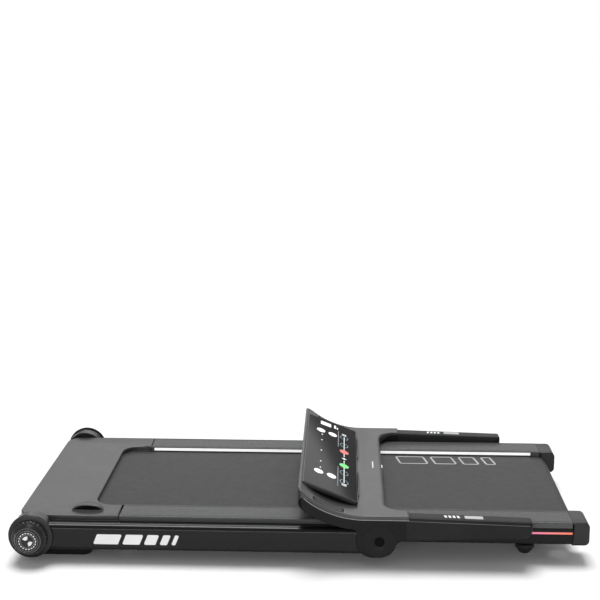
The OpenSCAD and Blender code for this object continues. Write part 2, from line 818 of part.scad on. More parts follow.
// The place of a speaker in the wing, from depth0 to depth1 below its top, grown by grow
module speaker_window(grow, depth0, depth1) {
  intersection() {
    console_slice(depth0, depth1, sweep_x, wing_in, console_out);
    block([speaker_x - speaker_l / 2 - grow, handle_y - speaker_w / 2 - grow, 0],
          [speaker_x + speaker_l / 2 + grow, handle_y + speaker_w / 2 + grow, sweep_z]);
  }
}

// Slotted speaker grilles set flush in both wings
module speaker_grilles() {
  pitch = 6;
  color("#1c1c1e") pair() difference() {
    speaker_window(0, 0, wall);
    for (i = [-1, 0, 1])
      block([speaker_x - speaker_l / 2 + 5, handle_y + i * pitch - 1, 0],
            [speaker_x + speaker_l / 2 - 5, handle_y + i * pitch + 1, sweep_z]);
  }
}

// Lower shell of the console, between the arms and just above the deck
module console_bottom() {
  skin = 2.5;
  hw = wing_in - gap;
  flat_x = sweep_x - sqrt(pow(sweep_r + arm_t, 2) - pow(sweep_z - bar_under_z, 2));
  color("#2b2c2e") intersection() {
    union() {
      console_slice(arm_t - skin, arm_t, bar_rear_x - wall, -hw, hw);
      block([flat_x, -hw, bar_under_z], [bar_rear_x - wall, hw, bar_under_z + skin]);
    }
    block([tip_x + wall, -hw, bar_under_z], [bar_rear_x - wall, hw, sweep_z]);
  }
}

// Side arm: carries the boss of the console hinge, the wing and the handrail
module side_arm() {
  tail_x = pivot_x + eye_r + swing_gap;
  color("#2b2c2e") difference() {
    union() {
      intersection() {
        console_slice(wall, arm_t, wing_x, upright_in, console_out);
        block([tip_x, upright_in, arm_under_z], [wing_x, console_out, sweep_z]);
      }
      console_slice(wall, arm_t, wing_x, console_out - skirt_t, console_out);
      bar_y(boss_r, lap_y, console_out, pivot_x, hub_z);
      difference() {
        block([pivot_x, lap_y, rear_round_z], [rear_round_x, console_out, grip_z - grip_h + 1]);
        bar_y(rear_round, lap_y - 1, console_out + 1, rear_round_x, rear_round_z);
      }
      difference() {
        block([front_round_x, console_out - skirt_t, front_round_z],
              [skirt_x, console_out, bar_z - arm_t + 6]);
        bar_y(front_round, lap_y, console_out + 1, front_round_x, front_round_z);
      }
      bar_y(boss_r, console_out - skirt_t, console_out, skirt_x, hub_z);
      block([skirt_x, console_out - skirt_t, hub_z - boss_r], [pivot_x, console_out, bar_z - arm_t + 6]);
      block([pivot_x, lap_y, hub_z], [wing_x, console_out, grip_z]);
      block([tail_x, upright_in, grip_z - grip_h], [wing_x, console_out, grip_z]);
    }
    bar_y(eye_r + 1, upright_in - 1, lap_y, pivot_x, hub_z);
    bar_y(pivot_r, lap_y - 1, console_out - 10, pivot_x, hub_z);
    bar_y(pivot_r + 2, console_out - 10, console_out + 1, pivot_x, hub_z);
    speaker_window(0.2, wall - 1, wall + 14);
    nose_corners();
    translate([wing_x - 26, handle_y, handle_z]) rotate([0, 90, 0]) cylinder(h = 30, r = handle_r);
  }
}

// Hinge pins, fixed in the arms, on which the console turns
module console_pins() {
  color("silver") pair() bar_y(pivot_r, upright_in + 1, console_out - 10, pivot_x, hub_z);
}

// A flat plate let into the sloping top of a grip between x0 and x1
module grip_inlay(x0, x1, w, depth) {
  translate([wing_x, handle_y, grip_z]) rotate([0, grip_fall, 0])
    block([x0, -w / 2, -depth], [x1, w / 2, 0]);
}

// Hand grip: a tapered rubber sleeve with a large round at its lower rear corner
module grip() {
  end_x = wing_x + grip_l;
  top_z = grip_z - grip_top_drop;
  round_r = 24;
  color("#1c1c1e") difference() {
    translate([0, console_out, 0]) rotate([90, 0, 0]) linear_extrude(console_out - upright_in)
      polygon([[wing_x, grip_z - grip_h], [wing_x, grip_z], [end_x, top_z], [end_x, top_z - grip_end_h]]);
    difference() {
      block([end_x - round_r, upright_in - 1, 0], [end_x + 1, console_out + 1, top_z - grip_end_h + round_r]);
      bar_y(round_r, upright_in - 2, console_out + 2, end_x - round_r, top_z - grip_end_h + round_r);
    }
    translate([wing_x - 1, handle_y, handle_z]) rotate([0, 90, 0]) cylinder(h = grip_l - 24, r = handle_r);
    grip_inlay(pulse_x, pulse_x + pulse_l, pulse_w, pulse_t);
  }
}

// Steel tubes inside the grips, pushed into the arms
module handrail_tubes() {
  color("silver") pair() translate([wing_x - 26, handle_y, handle_z]) rotate([0, 90, 0]) difference() {
    cylinder(h = grip_l, r = handle_r);
    translate([0, 0, -1]) cylinder(h = grip_l + 2, r = handle_r - 2);
  }
}

// Metal pulse plates let into the tops of the grips
module pulse_plates() {
  color("gainsboro") pair() grip_inlay(pulse_x, pulse_x + pulse_l, pulse_w, pulse_t);
}

// Tray that holds the display's boards, with a ledge for a tablet at its rear edge
module display_housing() {
  frame_w = 3;
  lip_r = (pow((lip_out - lip_in) / 2, 2) + pow(lip_h, 2)) / (2 * lip_h);
  color("#1c1c1e") translate([display_x, 0, display_z]) rotate([0, display_tilt, 0]) difference() {
    union() {
      block([-display_l, -display_w / 2, -display_t], [0, display_w / 2, 0]);
      pair() intersection() {
        block([-1, lip_in, -display_t + 3.5], [3, lip_out, lip_h + 1]);
        translate([-2, (lip_in + lip_out) / 2, lip_h - lip_r]) rotate([0, 90, 0]) cylinder(h = 6, r = lip_r);
      }
    }
    block([-display_l + frame_w, -display_w / 2 + frame_w, -glass_t],
          [-frame_w, display_w / 2 - frame_w, 1]);
    block([-display_l + 8, -display_w / 2 + 8, -display_t + 2.5], [-8, display_w / 2 - 8, 1]);
  }
}

// Black glass over the display and the touch keys
module display_glass() {
  frame_w = 3;
  color("#0c0c0e") translate([display_x, 0, display_z]) rotate([0, display_tilt, 0])
    block([-display_l + frame_w, -display_w / 2 + frame_w, -glass_t],
          [-frame_w, display_w / 2 - frame_w, 0]);
}

// The place of the safety-key socket in the rear edge of the crossbar
module socket_block(grow) {
  block([bar_rear_x - 8, socket_y - 11 - grow, bar_z - 17 - grow],
        [bar_rear_x + 1, socket_y + 11 + grow, bar_z - 5 + grow]);
}

// Socket for the magnetic safety key, open towards the walker
module safety_key_socket() {
  color("silver") difference() {
    block([bar_rear_x - 8, socket_y - 11, bar_z - 17], [bar_rear_x + 1, socket_y + 11, bar_z - 5]);
    block([bar_rear_x - 6, socket_y - 8.5, bar_z - 14.5], [bar_rear_x + 2, socket_y + 8.5, bar_z - 7.5]);
  }
}

mirror([0, 1, 0]) side_beam();  // side_beam_left
side_beam();  // side_beam_right
cross_members();
mirror([0, 1, 0]) hub_bracket();  // hub_bracket_left
hub_bracket();  // hub_bracket_right
pivot_bolts();
running_board();
board_cushions();
running_belt();
front_roller();
rear_roller();
roller_axle(front_axle_x);  // front_axle
roller_axle(rear_axle_x);  // rear_axle
roller_bearings();
axle_adjusters();
motor_body();
motor_mount();
motor_rotor();
drive_belt();
motor_controller();
motor_hood();
hood_scoop();
belly_pan();
pan_screws();
mirror([0, 1, 0]) foot_rail();  // foot_rail_left
foot_rail();  // foot_rail_right
mirror([0, 1, 0]) side_cover();  // side_cover_left
side_cover();  // side_cover_right
side_light_strips();
inner_light_strips();
mirror([0, 1, 0]) end_cap();  // end_cap_left
end_cap();  // end_cap_right
rear_feet();
mirror([0, 1, 0]) transport_wheel();  // transport_wheel_left
transport_wheel();  // transport_wheel_right
wheel_axles();
power_inlet();
switch_body();
rocker_switch();
breaker_collar();
breaker_button();
mirror([0, 1, 0]) lock_knob();  // lock_knob_left
lock_knob();  // lock_knob_right
mirror([0, 1, 0]) upright();  // upright_left
upright();  // upright_right
mirror([0, 1, 0]) lower_hub();  // lower_hub_left
lower_hub();  // lower_hub_right
console_top();
console_bottom();
mirror([0, 1, 0]) side_arm();  // side_arm_left
side_arm();  // side_arm_right
console_pins();
mirror([0, 1, 0]) grip();  // grip_left
grip();  // grip_right
handrail_tubes();
pulse_plates();
display_housing();
display_glass();
speaker_grilles();
safety_key_socket();
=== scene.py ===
"""Looks of a folding home treadmill, parked flat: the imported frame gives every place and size."""
import json
import math

import bpy
import numpy as np
from mathutils import Matrix, Vector
from mathutils.geometry import tessellate_polygon


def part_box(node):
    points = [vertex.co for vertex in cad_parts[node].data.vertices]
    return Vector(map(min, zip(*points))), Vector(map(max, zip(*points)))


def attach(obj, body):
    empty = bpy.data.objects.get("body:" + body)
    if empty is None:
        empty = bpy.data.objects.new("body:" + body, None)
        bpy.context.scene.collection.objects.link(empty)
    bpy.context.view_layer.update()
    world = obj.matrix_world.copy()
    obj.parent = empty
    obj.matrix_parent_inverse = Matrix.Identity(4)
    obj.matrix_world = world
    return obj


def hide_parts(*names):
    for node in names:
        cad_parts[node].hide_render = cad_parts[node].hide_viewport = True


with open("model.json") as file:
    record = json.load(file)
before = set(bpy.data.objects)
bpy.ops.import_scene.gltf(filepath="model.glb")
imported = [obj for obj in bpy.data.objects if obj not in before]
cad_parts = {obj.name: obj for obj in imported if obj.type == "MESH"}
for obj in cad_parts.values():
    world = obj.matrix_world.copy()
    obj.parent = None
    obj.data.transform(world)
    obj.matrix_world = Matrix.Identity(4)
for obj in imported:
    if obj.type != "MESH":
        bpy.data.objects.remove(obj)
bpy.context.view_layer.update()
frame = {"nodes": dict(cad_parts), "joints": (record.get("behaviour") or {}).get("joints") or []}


# ---- Camera ----
# A long lens held level with a tall person's chest, a little over three metres to the
# walker's left of the treadmill, looking slightly down at the parked machine.
camera_place = Vector((0.0991, -3.2, 1.2376))
camera_turn, camera_drop, camera_roll = (math.radians(a) for a in (-1.95, 11.62, 0.16))
ahead = Vector((math.sin(camera_turn) * math.cos(camera_drop),
                math.cos(camera_turn) * math.cos(camera_drop), -math.sin(camera_drop)))
level = Vector((math.cos(camera_turn), -math.sin(camera_turn), 0.0))
upward = level.cross(ahead)
right = level * math.cos(camera_roll) + upward * math.sin(camera_roll)
camera_up = upward * math.cos(camera_roll) - level * math.sin(camera_roll)
camera_data = bpy.data.cameras.new("camera")
camera_data.sensor_width = 36.0
camera_data.lens = 76.3
camera_data.clip_end = 60.0
camera = bpy.data.objects.new("camera", camera_data)
bpy.context.collection.objects.link(camera)
camera.matrix_world = Matrix.Translation(camera_place) @ Matrix(
    (right, camera_up, -ahead)).transposed().to_4x4()
bpy.context.scene.camera = camera


# ---- Floor and light ----
# A pale matt studio floor, a broad soft sun overhead, a long light behind that draws the
# bright lines along the edges, and a low one from the camera's side.
def node_material(name):
    """A new material and its node tree, principled shader and output ready."""
    material = bpy.data.materials.new(name)
    material.use_nodes = True
    tree = material.node_tree
    return material, tree, tree.nodes["Principled BSDF"]


def link(tree, source, target):
    """Joins an output socket to an input socket."""
    tree.links.new(source, target)


def object_noise(tree, scale, detail=4.0, stretch=(1.0, 1.0, 1.0)):
    """Noise read on Object coordinates, its pattern stretched by dividing the scale on each axis."""
    coordinates = tree.nodes.new("ShaderNodeTexCoord")
    mapping = tree.nodes.new("ShaderNodeMapping")
    mapping.inputs["Scale"].default_value = tuple(1.0 / s for s in stretch)
    noise = tree.nodes.new("ShaderNodeTexNoise")
    noise.inputs["Scale"].default_value = scale
    noise.inputs["Detail"].default_value = detail
    link(tree, coordinates.outputs["Object"], mapping.inputs["Vector"])
    link(tree, mapping.outputs["Vector"], noise.inputs["Vector"])
    return noise.outputs["Fac"]


def ramp(tree, value, low, high, start=0.0, end=1.0):
    """A blend from colour low to colour high as value goes from start to end."""
    node = tree.nodes.new("ShaderNodeValToRGB")
    node.color_ramp.elements[0].position = start
    node.color_ramp.elements[0].color = (*low, 1.0)
    node.color_ramp.elements[1].position = end
    node.color_ramp.elements[1].color = (*high, 1.0)
    link(tree, value, node.inputs["Fac"])
    return node.outputs["Color"]


def span(tree, value, low, high, start=0.0, end=1.0):
    """A number that goes from low to high as value goes from start to end."""
    node = tree.nodes.new("ShaderNodeMapRange")
    for name, number in zip(("From Min", "From Max", "To Min", "To Max"), (start, end, low, high)):
        node.inputs[name].default_value = number
    link(tree, value, node.inputs["Value"])
    return node.outputs["Result"]


def bump(tree, shader, height, distance, strength=1.0):
    """Height in metres turned into a surface slope, chained onto any earlier bump."""
    node = tree.nodes.new("ShaderNodeBump")
    node.inputs["Distance"].default_value = distance
    node.inputs["Strength"].default_value = strength
    link(tree, height, node.inputs["Height"])
    earlier = shader.inputs["Normal"].links
    if earlier:
        link(tree, earlier[0].from_socket, node.inputs["Normal"])
    link(tree, node.outputs["Normal"], shader.inputs["Normal"])


floor_mesh = bpy.data.meshes.new("floor")
floor_mesh.from_pydata([(-14, -9, 0), (14, -9, 0), (14, 19, 0), (-14, 19, 0)], [], [(0, 1, 2, 3)])
floor = bpy.data.objects.new("floor", floor_mesh)
bpy.context.collection.objects.link(floor)
floor_material, tree, shader = node_material("studio_floor")
link(tree, ramp(tree, object_noise(tree, 2.0), (0.90, 0.90, 0.90), (0.93, 0.93, 0.93)),
     shader.inputs["Base Color"])
shader.inputs["Roughness"].default_value = 0.9
shader.inputs["Specular IOR Level"].default_value = 0.1
floor_mesh.materials.append(floor_material)


def soft_light(name, place, aim, size, power):
    """A rectangular area light at place, turned to face aim."""
    data = bpy.data.lights.new(name, "AREA")
    data.shape = "RECTANGLE"
    data.size, data.size_y = size
    data.energy = power
    lamp = bpy.data.objects.new(name, data)
    lamp.location = place
    lamp.rotation_euler = (Vector(aim) - Vector(place)).to_track_quat("-Z", "Y").to_euler()
    bpy.context.collection.objects.link(lamp)


sun_data = bpy.data.lights.new("overhead", "SUN")
sun_data.energy = 2.7
sun_data.angle = math.radians(32)
sun = bpy.data.objects.new("overhead", sun_data)
sun.rotation_euler = Vector((0.05, -0.28, -1.0)).to_track_quat("-Z", "Y").to_euler()
bpy.context.collection.objects.link(sun)
soft_light("behind", (0.0, 5.5, 2.75), (0, 0, 0.1), (8.0, 2.2), 80)
soft_light("camera_side", (-0.4, -5.2, 0.95), (0, 0, 0.1), (6.0, 0.4), 90)
world = bpy.data.worlds.new("studio")
world.use_nodes = True
sky = world.node_tree.nodes["Background"]
sky.inputs["Color"].default_value = (1, 1, 1, 1)
rays = world.node_tree.nodes.new("ShaderNodeLightPath")
world.node_tree.links.new(span(world.node_tree, rays.outputs["Is Camera Ray"], 0.32, 1.0),
                          sky.inputs["Strength"])
bpy.context.scene.world = world
bpy.context.scene.view_settings.view_transform = "Standard"

base, uprights, console = "base", "uprights", "console"
joints = {joint["name"]: joint for joint in frame["joints"]}
hub = Vector(joints["upright_fold"]["pos_m"])
pivot = Vector(joints["console_turn"]["pos_m"])


# ---- Running belt ----
# An endless PVC belt, black, with a fine non-slip weave on its outside; it runs round both
# rollers and over the board.
def piece(name, points, faces, material, body, replaced=(), flip=False, crease=32.0):
    """Points and faces made into an object at the origin that rides on a body: smooth but for
    edges sharper than crease degrees, its faces turned over when flip is set."""
    if flip:
        faces = [tuple(face)[::-1] for face in faces]
    mesh = bpy.data.meshes.new(name)
    mesh.from_pydata(np.asarray(points).tolist(), [], faces)
    mesh.polygons.foreach_set("use_smooth", np.ones(len(mesh.polygons), dtype=bool))
    mesh.set_sharp_from_angle(angle=math.radians(crease))
    mesh.materials.append(material)
    mesh.update()
    made = bpy.data.objects.new(name, mesh)
    bpy.context.collection.objects.link(made)
    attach(made, body)
    if replaced:
        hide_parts(*replaced)
    return made


def filled(ring, strip=0):
    """Faces, as indices, that fill one ring: strip quads bridged between its two ends, then
    triangles over the rest, all turned the way the ring runs."""
    count = len(ring)
    faces = [(a, a + 1, count - 2 - a, count - 1 - a) for a in range(strip)]
    rest = np.asarray(ring)[strip:count - strip]
    facing = np.cross(rest, np.roll(rest, -1, axis=0)).sum(axis=0)
    for a, b, c in tessellate_polygon([[Vector(p) for p in rest]]):
        turned = np.cross(rest[b] - rest[a], rest[c] - rest[a]) @ facing < 0
        faces.append(tuple(v + strip for v in ((a, c, b) if turned else (a, b, c))))
    return faces


def loft(rings, first=True, last=True, closed=False, strip=0):
    """Quads between rings of equal length; first and last close the ends, closed joins the last
    ring to the first instead. Ends are filled flat, but for strip quads from the rings' ends."""
    rings = np.asarray(rings, dtype=float)
    m, n = rings.shape[:2]
    row = np.arange(m if closed else m - 1)[:, None]
    i, k = row * n, ((row + 1) % m) * n
    j = np.arange(n)[None, :]
    after = (j + 1) % n
    faces = np.stack([i + j, i + after, k + after, k + j], axis=-1).reshape(-1, 4).tolist()
    if first and not closed:
        faces.extend(face[::-1] for face in filled(rings[0], strip))
    if last and not closed:
        faces.extend(tuple(a + (m - 1) * n for a in face) for face in filled(rings[-1], strip))
    return rings.reshape(-1, 3), faces


def rounded(corners, steps=6):
    """A closed outline from corners (x, y, radius): each corner becomes an arc that touches
    both of its sides, in steps points, or stays a point where the radius is 0."""
    outline = []
    count = len(corners)
    for index, (x, y, radius) in enumerate(corners):
        here = np.array((x, y))
        to_last = np.array(corners[index - 1][:2]) - here
        to_next = np.array(corners[(index + 1) % count][:2]) - here
        to_last, to_next = to_last / np.linalg.norm(to_last), to_next / np.linalg.norm(to_next)
        if radius <= 0:
            outline.append(here)
            continue
        half = math.acos(np.clip(to_last @ to_next, -1, 1)) / 2
        middle = here + (to_last + to_next) / np.linalg.norm(to_last + to_next) * radius / math.sin(half)
        start, end = (here + side * radius / math.tan(half) - middle for side in (to_last, to_next))
        first = math.atan2(start[1], start[0])
        turn = (math.atan2(end[1], end[0]) - first + math.pi) % (2 * math.pi) - math.pi
        angles = first + turn * np.linspace(0, 1, steps + 1)
        outline.extend(middle + radius * np.stack([np.cos(angles), np.sin(angles)], axis=1))
    return np.array(outline)


def inset(outline, depth):
    """A closed anticlockwise outline moved inwards by depth: each point goes along the sum of
    its two sides' inward normals over one plus their product, which keeps sides parallel."""
    before = outline - np.roll(outline, 1, axis=0)
    after = np.roll(outline, -1, axis=0) - outline
    normals = [np.stack([-side[:, 1], side[:, 0]], axis=1) / np.linalg.norm(side, axis=1)[:, None]
               for side in (before, after)]
    lean = 1.0 + np.sum(normals[0] * normals[1], axis=1)
    return outline + (normals[0] + normals[1]) / lean[:, None] * np.reshape(depth, (-1, 1))


def slab(outline, low, high, rim_low=0.0, rim_high=0.0, steps=4):
    """Rings of a plate from low to high whose rims are rounded: at angle a of the rim the
    outline is inset by r (1 - sin a) and stands r (1 - cos a) inside the face."""
    rows = []
    for radius, face, sign in ((rim_low, low, 1), (rim_high, high, -1)):
        angles = np.linspace(0, math.pi / 2, steps + 1) if radius else np.array([math.pi / 2])
        part = [(radius * (1 - math.sin(a)), face + sign * radius * (1 - math.cos(a))) for a in angles]
        rows.extend(part if sign > 0 else part[::-1])
    return np.array([np.column_stack([inset(outline, depth), np.full(len(outline), height)])
                     for depth, height in rows])


def standing(points):
    """Plate coordinates (along, up, across) turned into X, Z and Y."""
    return np.asarray(points)[..., [0, 2, 1]]


def across(points, side):
    """A right-hand shape as it is (side 1) or mirrored to the left (side -1)."""
    return np.asarray(points) * np.array((1.0, side, 1.0))


belt_low, belt_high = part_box("running_belt")
belt_r = (belt_high.z - belt_low.z) / 2
belt_mid_z = (belt_high.z + belt_low.z) / 2
belt_half = belt_high.y
belt_thick = 0.0018


def belt_loop(depth, stations=24):
    """The belt's path, depth inside its outer face: two half circles joined by straight runs."""
    turn = np.linspace(-math.pi / 2, math.pi / 2, stations)
    radius = belt_r - depth
    rear_x, front_x = belt_high.x - belt_r, belt_low.x + belt_r
    run = np.linspace(rear_x, front_x, 40)[1:-1]
    rear = np.stack([rear_x + radius * np.cos(turn), belt_mid_z + radius * np.sin(turn)], axis=1)
    front = np.stack([front_x - radius * np.cos(turn), belt_mid_z - radius * np.sin(turn)], axis=1)
    top = np.stack([run, np.full(len(run), belt_mid_z + radius)], axis=1)
    bottom = np.stack([run[::-1], np.full(len(run), belt_mid_z - radius)], axis=1)
    return np.concatenate([rear, top, front, bottom])


belt_section = [(0.0006, -belt_half), (0.0, -belt_half + 0.0008), (0.0, belt_half - 0.0008),
                (0.0006, belt_half), (belt_thick, belt_half), (belt_thick, -belt_half)]
belt_rings = np.stack([np.insert(belt_loop(depth), 1, y, axis=1) for depth, y in belt_section], axis=1)
belt_material, tree, shader = node_material("pvc_belt")
weave = tree.nodes.new("ShaderNodeTexVoronoi")
weave.inputs["Scale"].default_value = 420.0
coordinates = tree.nodes.new("ShaderNodeTexCoord")
link(tree, coordinates.outputs["Object"], weave.inputs["Vector"])
link(tree, ramp(tree, object_noise(tree, 3.0, 5.0), (0.023, 0.023, 0.024), (0.032, 0.032, 0.034)),
     shader.inputs["Base Color"])
shader.inputs["Specular IOR Level"].default_value = 0.3
link(tree, span(tree, object_noise(tree, 60.0), 0.48, 0.62), shader.inputs["Roughness"])
bump(tree, shader, weave.outputs["Distance"], 0.0006, 0.5)
belt = piece("running_belt_skin", *loft(belt_rings, closed=True), belt_material, base, ["running_belt"])


# ---- Foot rails ----
# Extruded aluminium treads beside the belt, grit-coated on top, with rounded edges and a
# shallow lengthwise groove inside each edge; clipped over the steel beams.
def joined(*parts):
    """Several (points, faces) parts as one, each part's faces counted on from the last one's."""
    points, faces, count = [], [], 0
    for part_points, part_faces in parts:
        part_points = np.asarray(part_points, dtype=float).reshape(-1, 3)
        points.append(part_points)
        faces.extend([tuple(index + count for index in face) for face in part_faces])
        count += len(part_points)
    return np.concatenate(points), faces


def turned_over(part):
    """A part with its faces turned the other way."""
    return part[0], [tuple(face)[::-1] for face in part[1]]


def both_sides(name, part, material, body, nodes=True, crease=32.0):
    """The right-hand piece and its mirror image on the left, each standing for its own node."""
    for side, word in ((1, "right"), (-1, "left")):
        made = piece(f"{name}_{word}_skin", across(part[0], side), part[1], material,
                     body.replace("SIDE", word), [f"{name}_{word}"] if nodes else (),
                     flip=side < 0, crease=crease)


def moulded(name, dark, pale, rough, grain=0.0, shine=0.5, scale=900.0):
    """Moulded or coated plastic: colour drifting between two tones, roughness drifting about
    its value, and a fine grain of the given depth in metres."""
    made, tree, shader = node_material(name)
    link(tree, ramp(tree, object_noise(tree, 7.0, 3.0), dark, pale, 0.3, 0.7), shader.inputs["Base Color"])
    link(tree, span(tree, object_noise(tree, 35.0, 5.0), rough * 0.88, rough * 1.12),
         shader.inputs["Roughness"])
    shader.inputs["Specular IOR Level"].default_value = shine
    if grain:
        bump(tree, shader, object_noise(tree, scale, 2.0), grain, 0.6)
    return made


def swept(section, stations):
    """A closed section in (Y, Z) carried along X through the stations."""
    return loft([[(x, y, z) for y, z in section] for x in stations])


rail_low, rail_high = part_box("foot_rail_right")
rail_top, rail_under, rail_in, half_width = rail_high.z, rail_low.z, rail_low.y, rail_high.y
seam_x, cap_x = rail_low.x, rail_high.x
rail_section = rounded([
    (rail_in, rail_under, 0), (rail_in + 0.003, rail_under, 0), (rail_in + 0.003, rail_top - 0.003, 0),
    (half_width - 0.003, rail_top - 0.003, 0), (half_width - 0.003, rail_under, 0),
    (half_width, rail_under, 0), (half_width, rail_top, 0.003),
    (half_width - 0.006, rail_top, 0.0004), (half_width - 0.0066, rail_top - 0.0008, 0),
    (half_width - 0.0082, rail_top - 0.0008, 0), (half_width - 0.0088, rail_top, 0.0004),
    (rail_in + 0.0088, rail_top, 0.0004), (rail_in + 0.0082, rail_top - 0.0008, 0),
    (rail_in + 0.0066, rail_top - 0.0008, 0), (rail_in + 0.006, rail_top, 0.0004),
    (rail_in, rail_top, 0.0025)], 5)
tread, tree, shader = node_material("grit_tread")
link(tree, ramp(tree, object_noise(tree, 420.0, 3.0), (0.030, 0.031, 0.032), (0.075, 0.076, 0.078), 0.35, 0.65),
     shader.inputs["Base Color"])
link(tree, span(tree, object_noise(tree, 160.0), 0.42, 0.6), shader.inputs["Roughness"])
bump(tree, shader, object_noise(tree, 520.0, 3.0), 0.0004, 0.7)
both_sides("foot_rail", swept(rail_section, (seam_x + 0.0004, cap_x - 0.0004)), tread, base)


# ---- Side covers ----
# Black extruded skirts over the beams: rounded lower edge, a groove that holds the light
# strip, and a fine step under the tread; held on by clips from behind.
cover_low, cover_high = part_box("side_cover_right")
light_low, light_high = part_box("side_light_strips")
groove = cover_high.y - 0.0015
cover_section = rounded([
    (cover_low.y, cover_low.z + 0.001, 0), (cover_high.y, cover_low.z, 0.0035),
    (cover_high.y, light_low.z, 0.0004), (groove, light_low.z, 0), (groove, light_high.z, 0),
    (cover_high.y, light_high.z, 0.0004), (cover_high.y, cover_high.z - 0.003, 0.0006),
    (cover_high.y - 0.0012, cover_high.z - 0.0022, 0), (cover_high.y - 0.0012, cover_high.z, 0),
    (cover_low.y, cover_high.z, 0)], 5)
gloss_black = moulded("gloss_black", (0.007, 0.007, 0.008), (0.010, 0.010, 0.011), 0.3, shine=0.14)
both_sides("side_cover", swept(cover_section, (cover_low.x, cover_high.x)), gloss_black, base)
light_material, tree, shader = node_material("light_strip")
coordinates = tree.nodes.new("ShaderNodeTexCoord")
apart = tree.nodes.new("ShaderNodeSeparateXYZ")
link(tree, coordinates.outputs["Object"], apart.inputs["Vector"])
glow = ramp(tree, span(tree, apart.outputs["X"], 0.0, 1.0, cap_x - 0.110, cap_x),
            (0.62, 0.16, 0.30), (0.80, 0.17, 0.09), 0.1, 0.9)
link(tree, glow, shader.inputs["Base Color"])
link(tree, glow, shader.inputs["Emission Color"])
link(tree, span(tree, object_noise(tree, 40.0), 0.40, 0.52), shader.inputs["Emission Strength"])
link(tree, span(tree, object_noise(tree, 90.0), 0.3, 0.45), shader.inputs["Roughness"])
frame["nodes"]["side_light_strips"].data.materials.clear()
frame["nodes"]["side_light_strips"].data.materials.append(light_material)


# ---- End caps ----
# Hollow black mouldings over the ends of the rails, rounded at the top rear and the lower
# rear corner, pushed over the beam ends and held by the axle screws.
end_low, end_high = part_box("end_cap_right")


def upright_slab(outline, low, high, rim_low, rim_high, strip=0, steps=4):
    """A plate whose outline is given in (X, Z) and whose thickness runs along Y, rims rounded."""
    rings = slab(outline, low, high, rim_low, rim_high, steps)
    points, faces = loft(rings, strip=strip)
    return turned_over((standing(points), faces))


cap_outline = rounded([(end_low.x, end_low.z, 0.001), (end_high.x, end_low.z, 0.012),
                       (end_high.x, end_high.z, 0.014), (end_low.x, end_high.z, 0.001)], 8)
cap_black = moulded("cap_black", (0.016, 0.016, 0.017), (0.024, 0.024, 0.025), 0.38, 0.00015, 0.25)
both_sides("end_cap", upright_slab(cap_outline, end_low.y, end_high.y, 0.003, 0.004), cap_black, base)


# ---- Motor hood ----
# One shallow shell moulded in dark grey, hollow below: round front corners, a ledge along
# each side, a deep cut-out with round corners where the belt comes out, and a front apron.
hood_low, hood_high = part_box("motor_hood")
nose_x, hood_x = hood_low.x, hood_high.x
hood_wall = 0.003
cut_x = seam_x - 0.073
hood_plan = rounded([
    (nose_x, half_width, 0.042), (nose_x, -half_width, 0.042), (hood_x, -half_width, 0),
    (hood_x, -rail_in, 0.0005), (cut_x, -rail_in, 0.045), (cut_x, rail_in, 0.045),
    (hood_x, rail_in, 0.0005), (hood_x, half_width, 0)], 12)
ledge = 0.0016
hood_rows = [(hood_wall, hood_high.z - hood_wall), (hood_wall, rail_under), (0.0, rail_under),
             (0.0, rail_under + 0.0012), (ledge, rail_under + 0.0024)]
hood_rows += [(ledge + 0.003 * (1 - math.cos(a)), hood_high.z - 0.003 * (1 - math.sin(a)))
              for a in np.linspace(0, math.pi / 2, 6)]
hood_shell = loft([np.column_stack([inset(hood_plan, depth), np.full(len(hood_plan), z)])
                   for depth, z in hood_rows])
apron_half = 0.2435
apron_plan = rounded([(nose_x, -apron_half, 0.001), (nose_x + hood_wall, -apron_half, 0.001),
                      (nose_x + hood_wall, apron_half, 0.001), (nose_x, apron_half, 0.001)], 2)
apron = loft(slab(apron_plan, 0.062, hood_high.z - 0.004))
hood_grey = moulded("hood_grey", (0.027, 0.027, 0.028), (0.034, 0.034, 0.035), 0.36, 0.00012)
hood = piece("motor_hood_skin", *joined(hood_shell, apron), hood_grey, base, ["motor_hood"], crease=40)


# ---- Hood scoop ----
# An eyelid-shaped air scoop of the hood's plastic, coloured a little darker than the hood as painted
# shade: a half dome open towards the left, with a rolled lip round its inlet, which is darkened by a black
# sheet of painted shade, and a low sill before it; moulded into the hood.
scoop_low, scoop_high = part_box("hood_scoop")
scoop_x, scoop_front, scoop_z = (scoop_low.x + scoop_high.x) / 2, scoop_low.y, scoop_low.z
scoop_half, scoop_deep, scoop_tall = (scoop_high.x - scoop_low.x) / 2, 0.036, 0.0138


def lid_row(back, scale):
    """One curve of the lid over its width: back goes from the open edge (0) to the foot (1) of
    a full dome whose width, depth and height all follow the square root of 1 - u squared."""
    u = np.linspace(-1, 1, 41)
    round_ = np.sqrt(np.maximum(1 - u ** 2, 0.0004))
    turn = back * math.pi / 2
    return np.column_stack([scoop_x + scale * scoop_half * u,
                            scoop_front + scoop_deep * round_ * math.sin(turn) ** 0.7,
                            scoop_z + scale * scoop_tall * round_ * max(math.cos(turn), 0.0) ** 0.7])


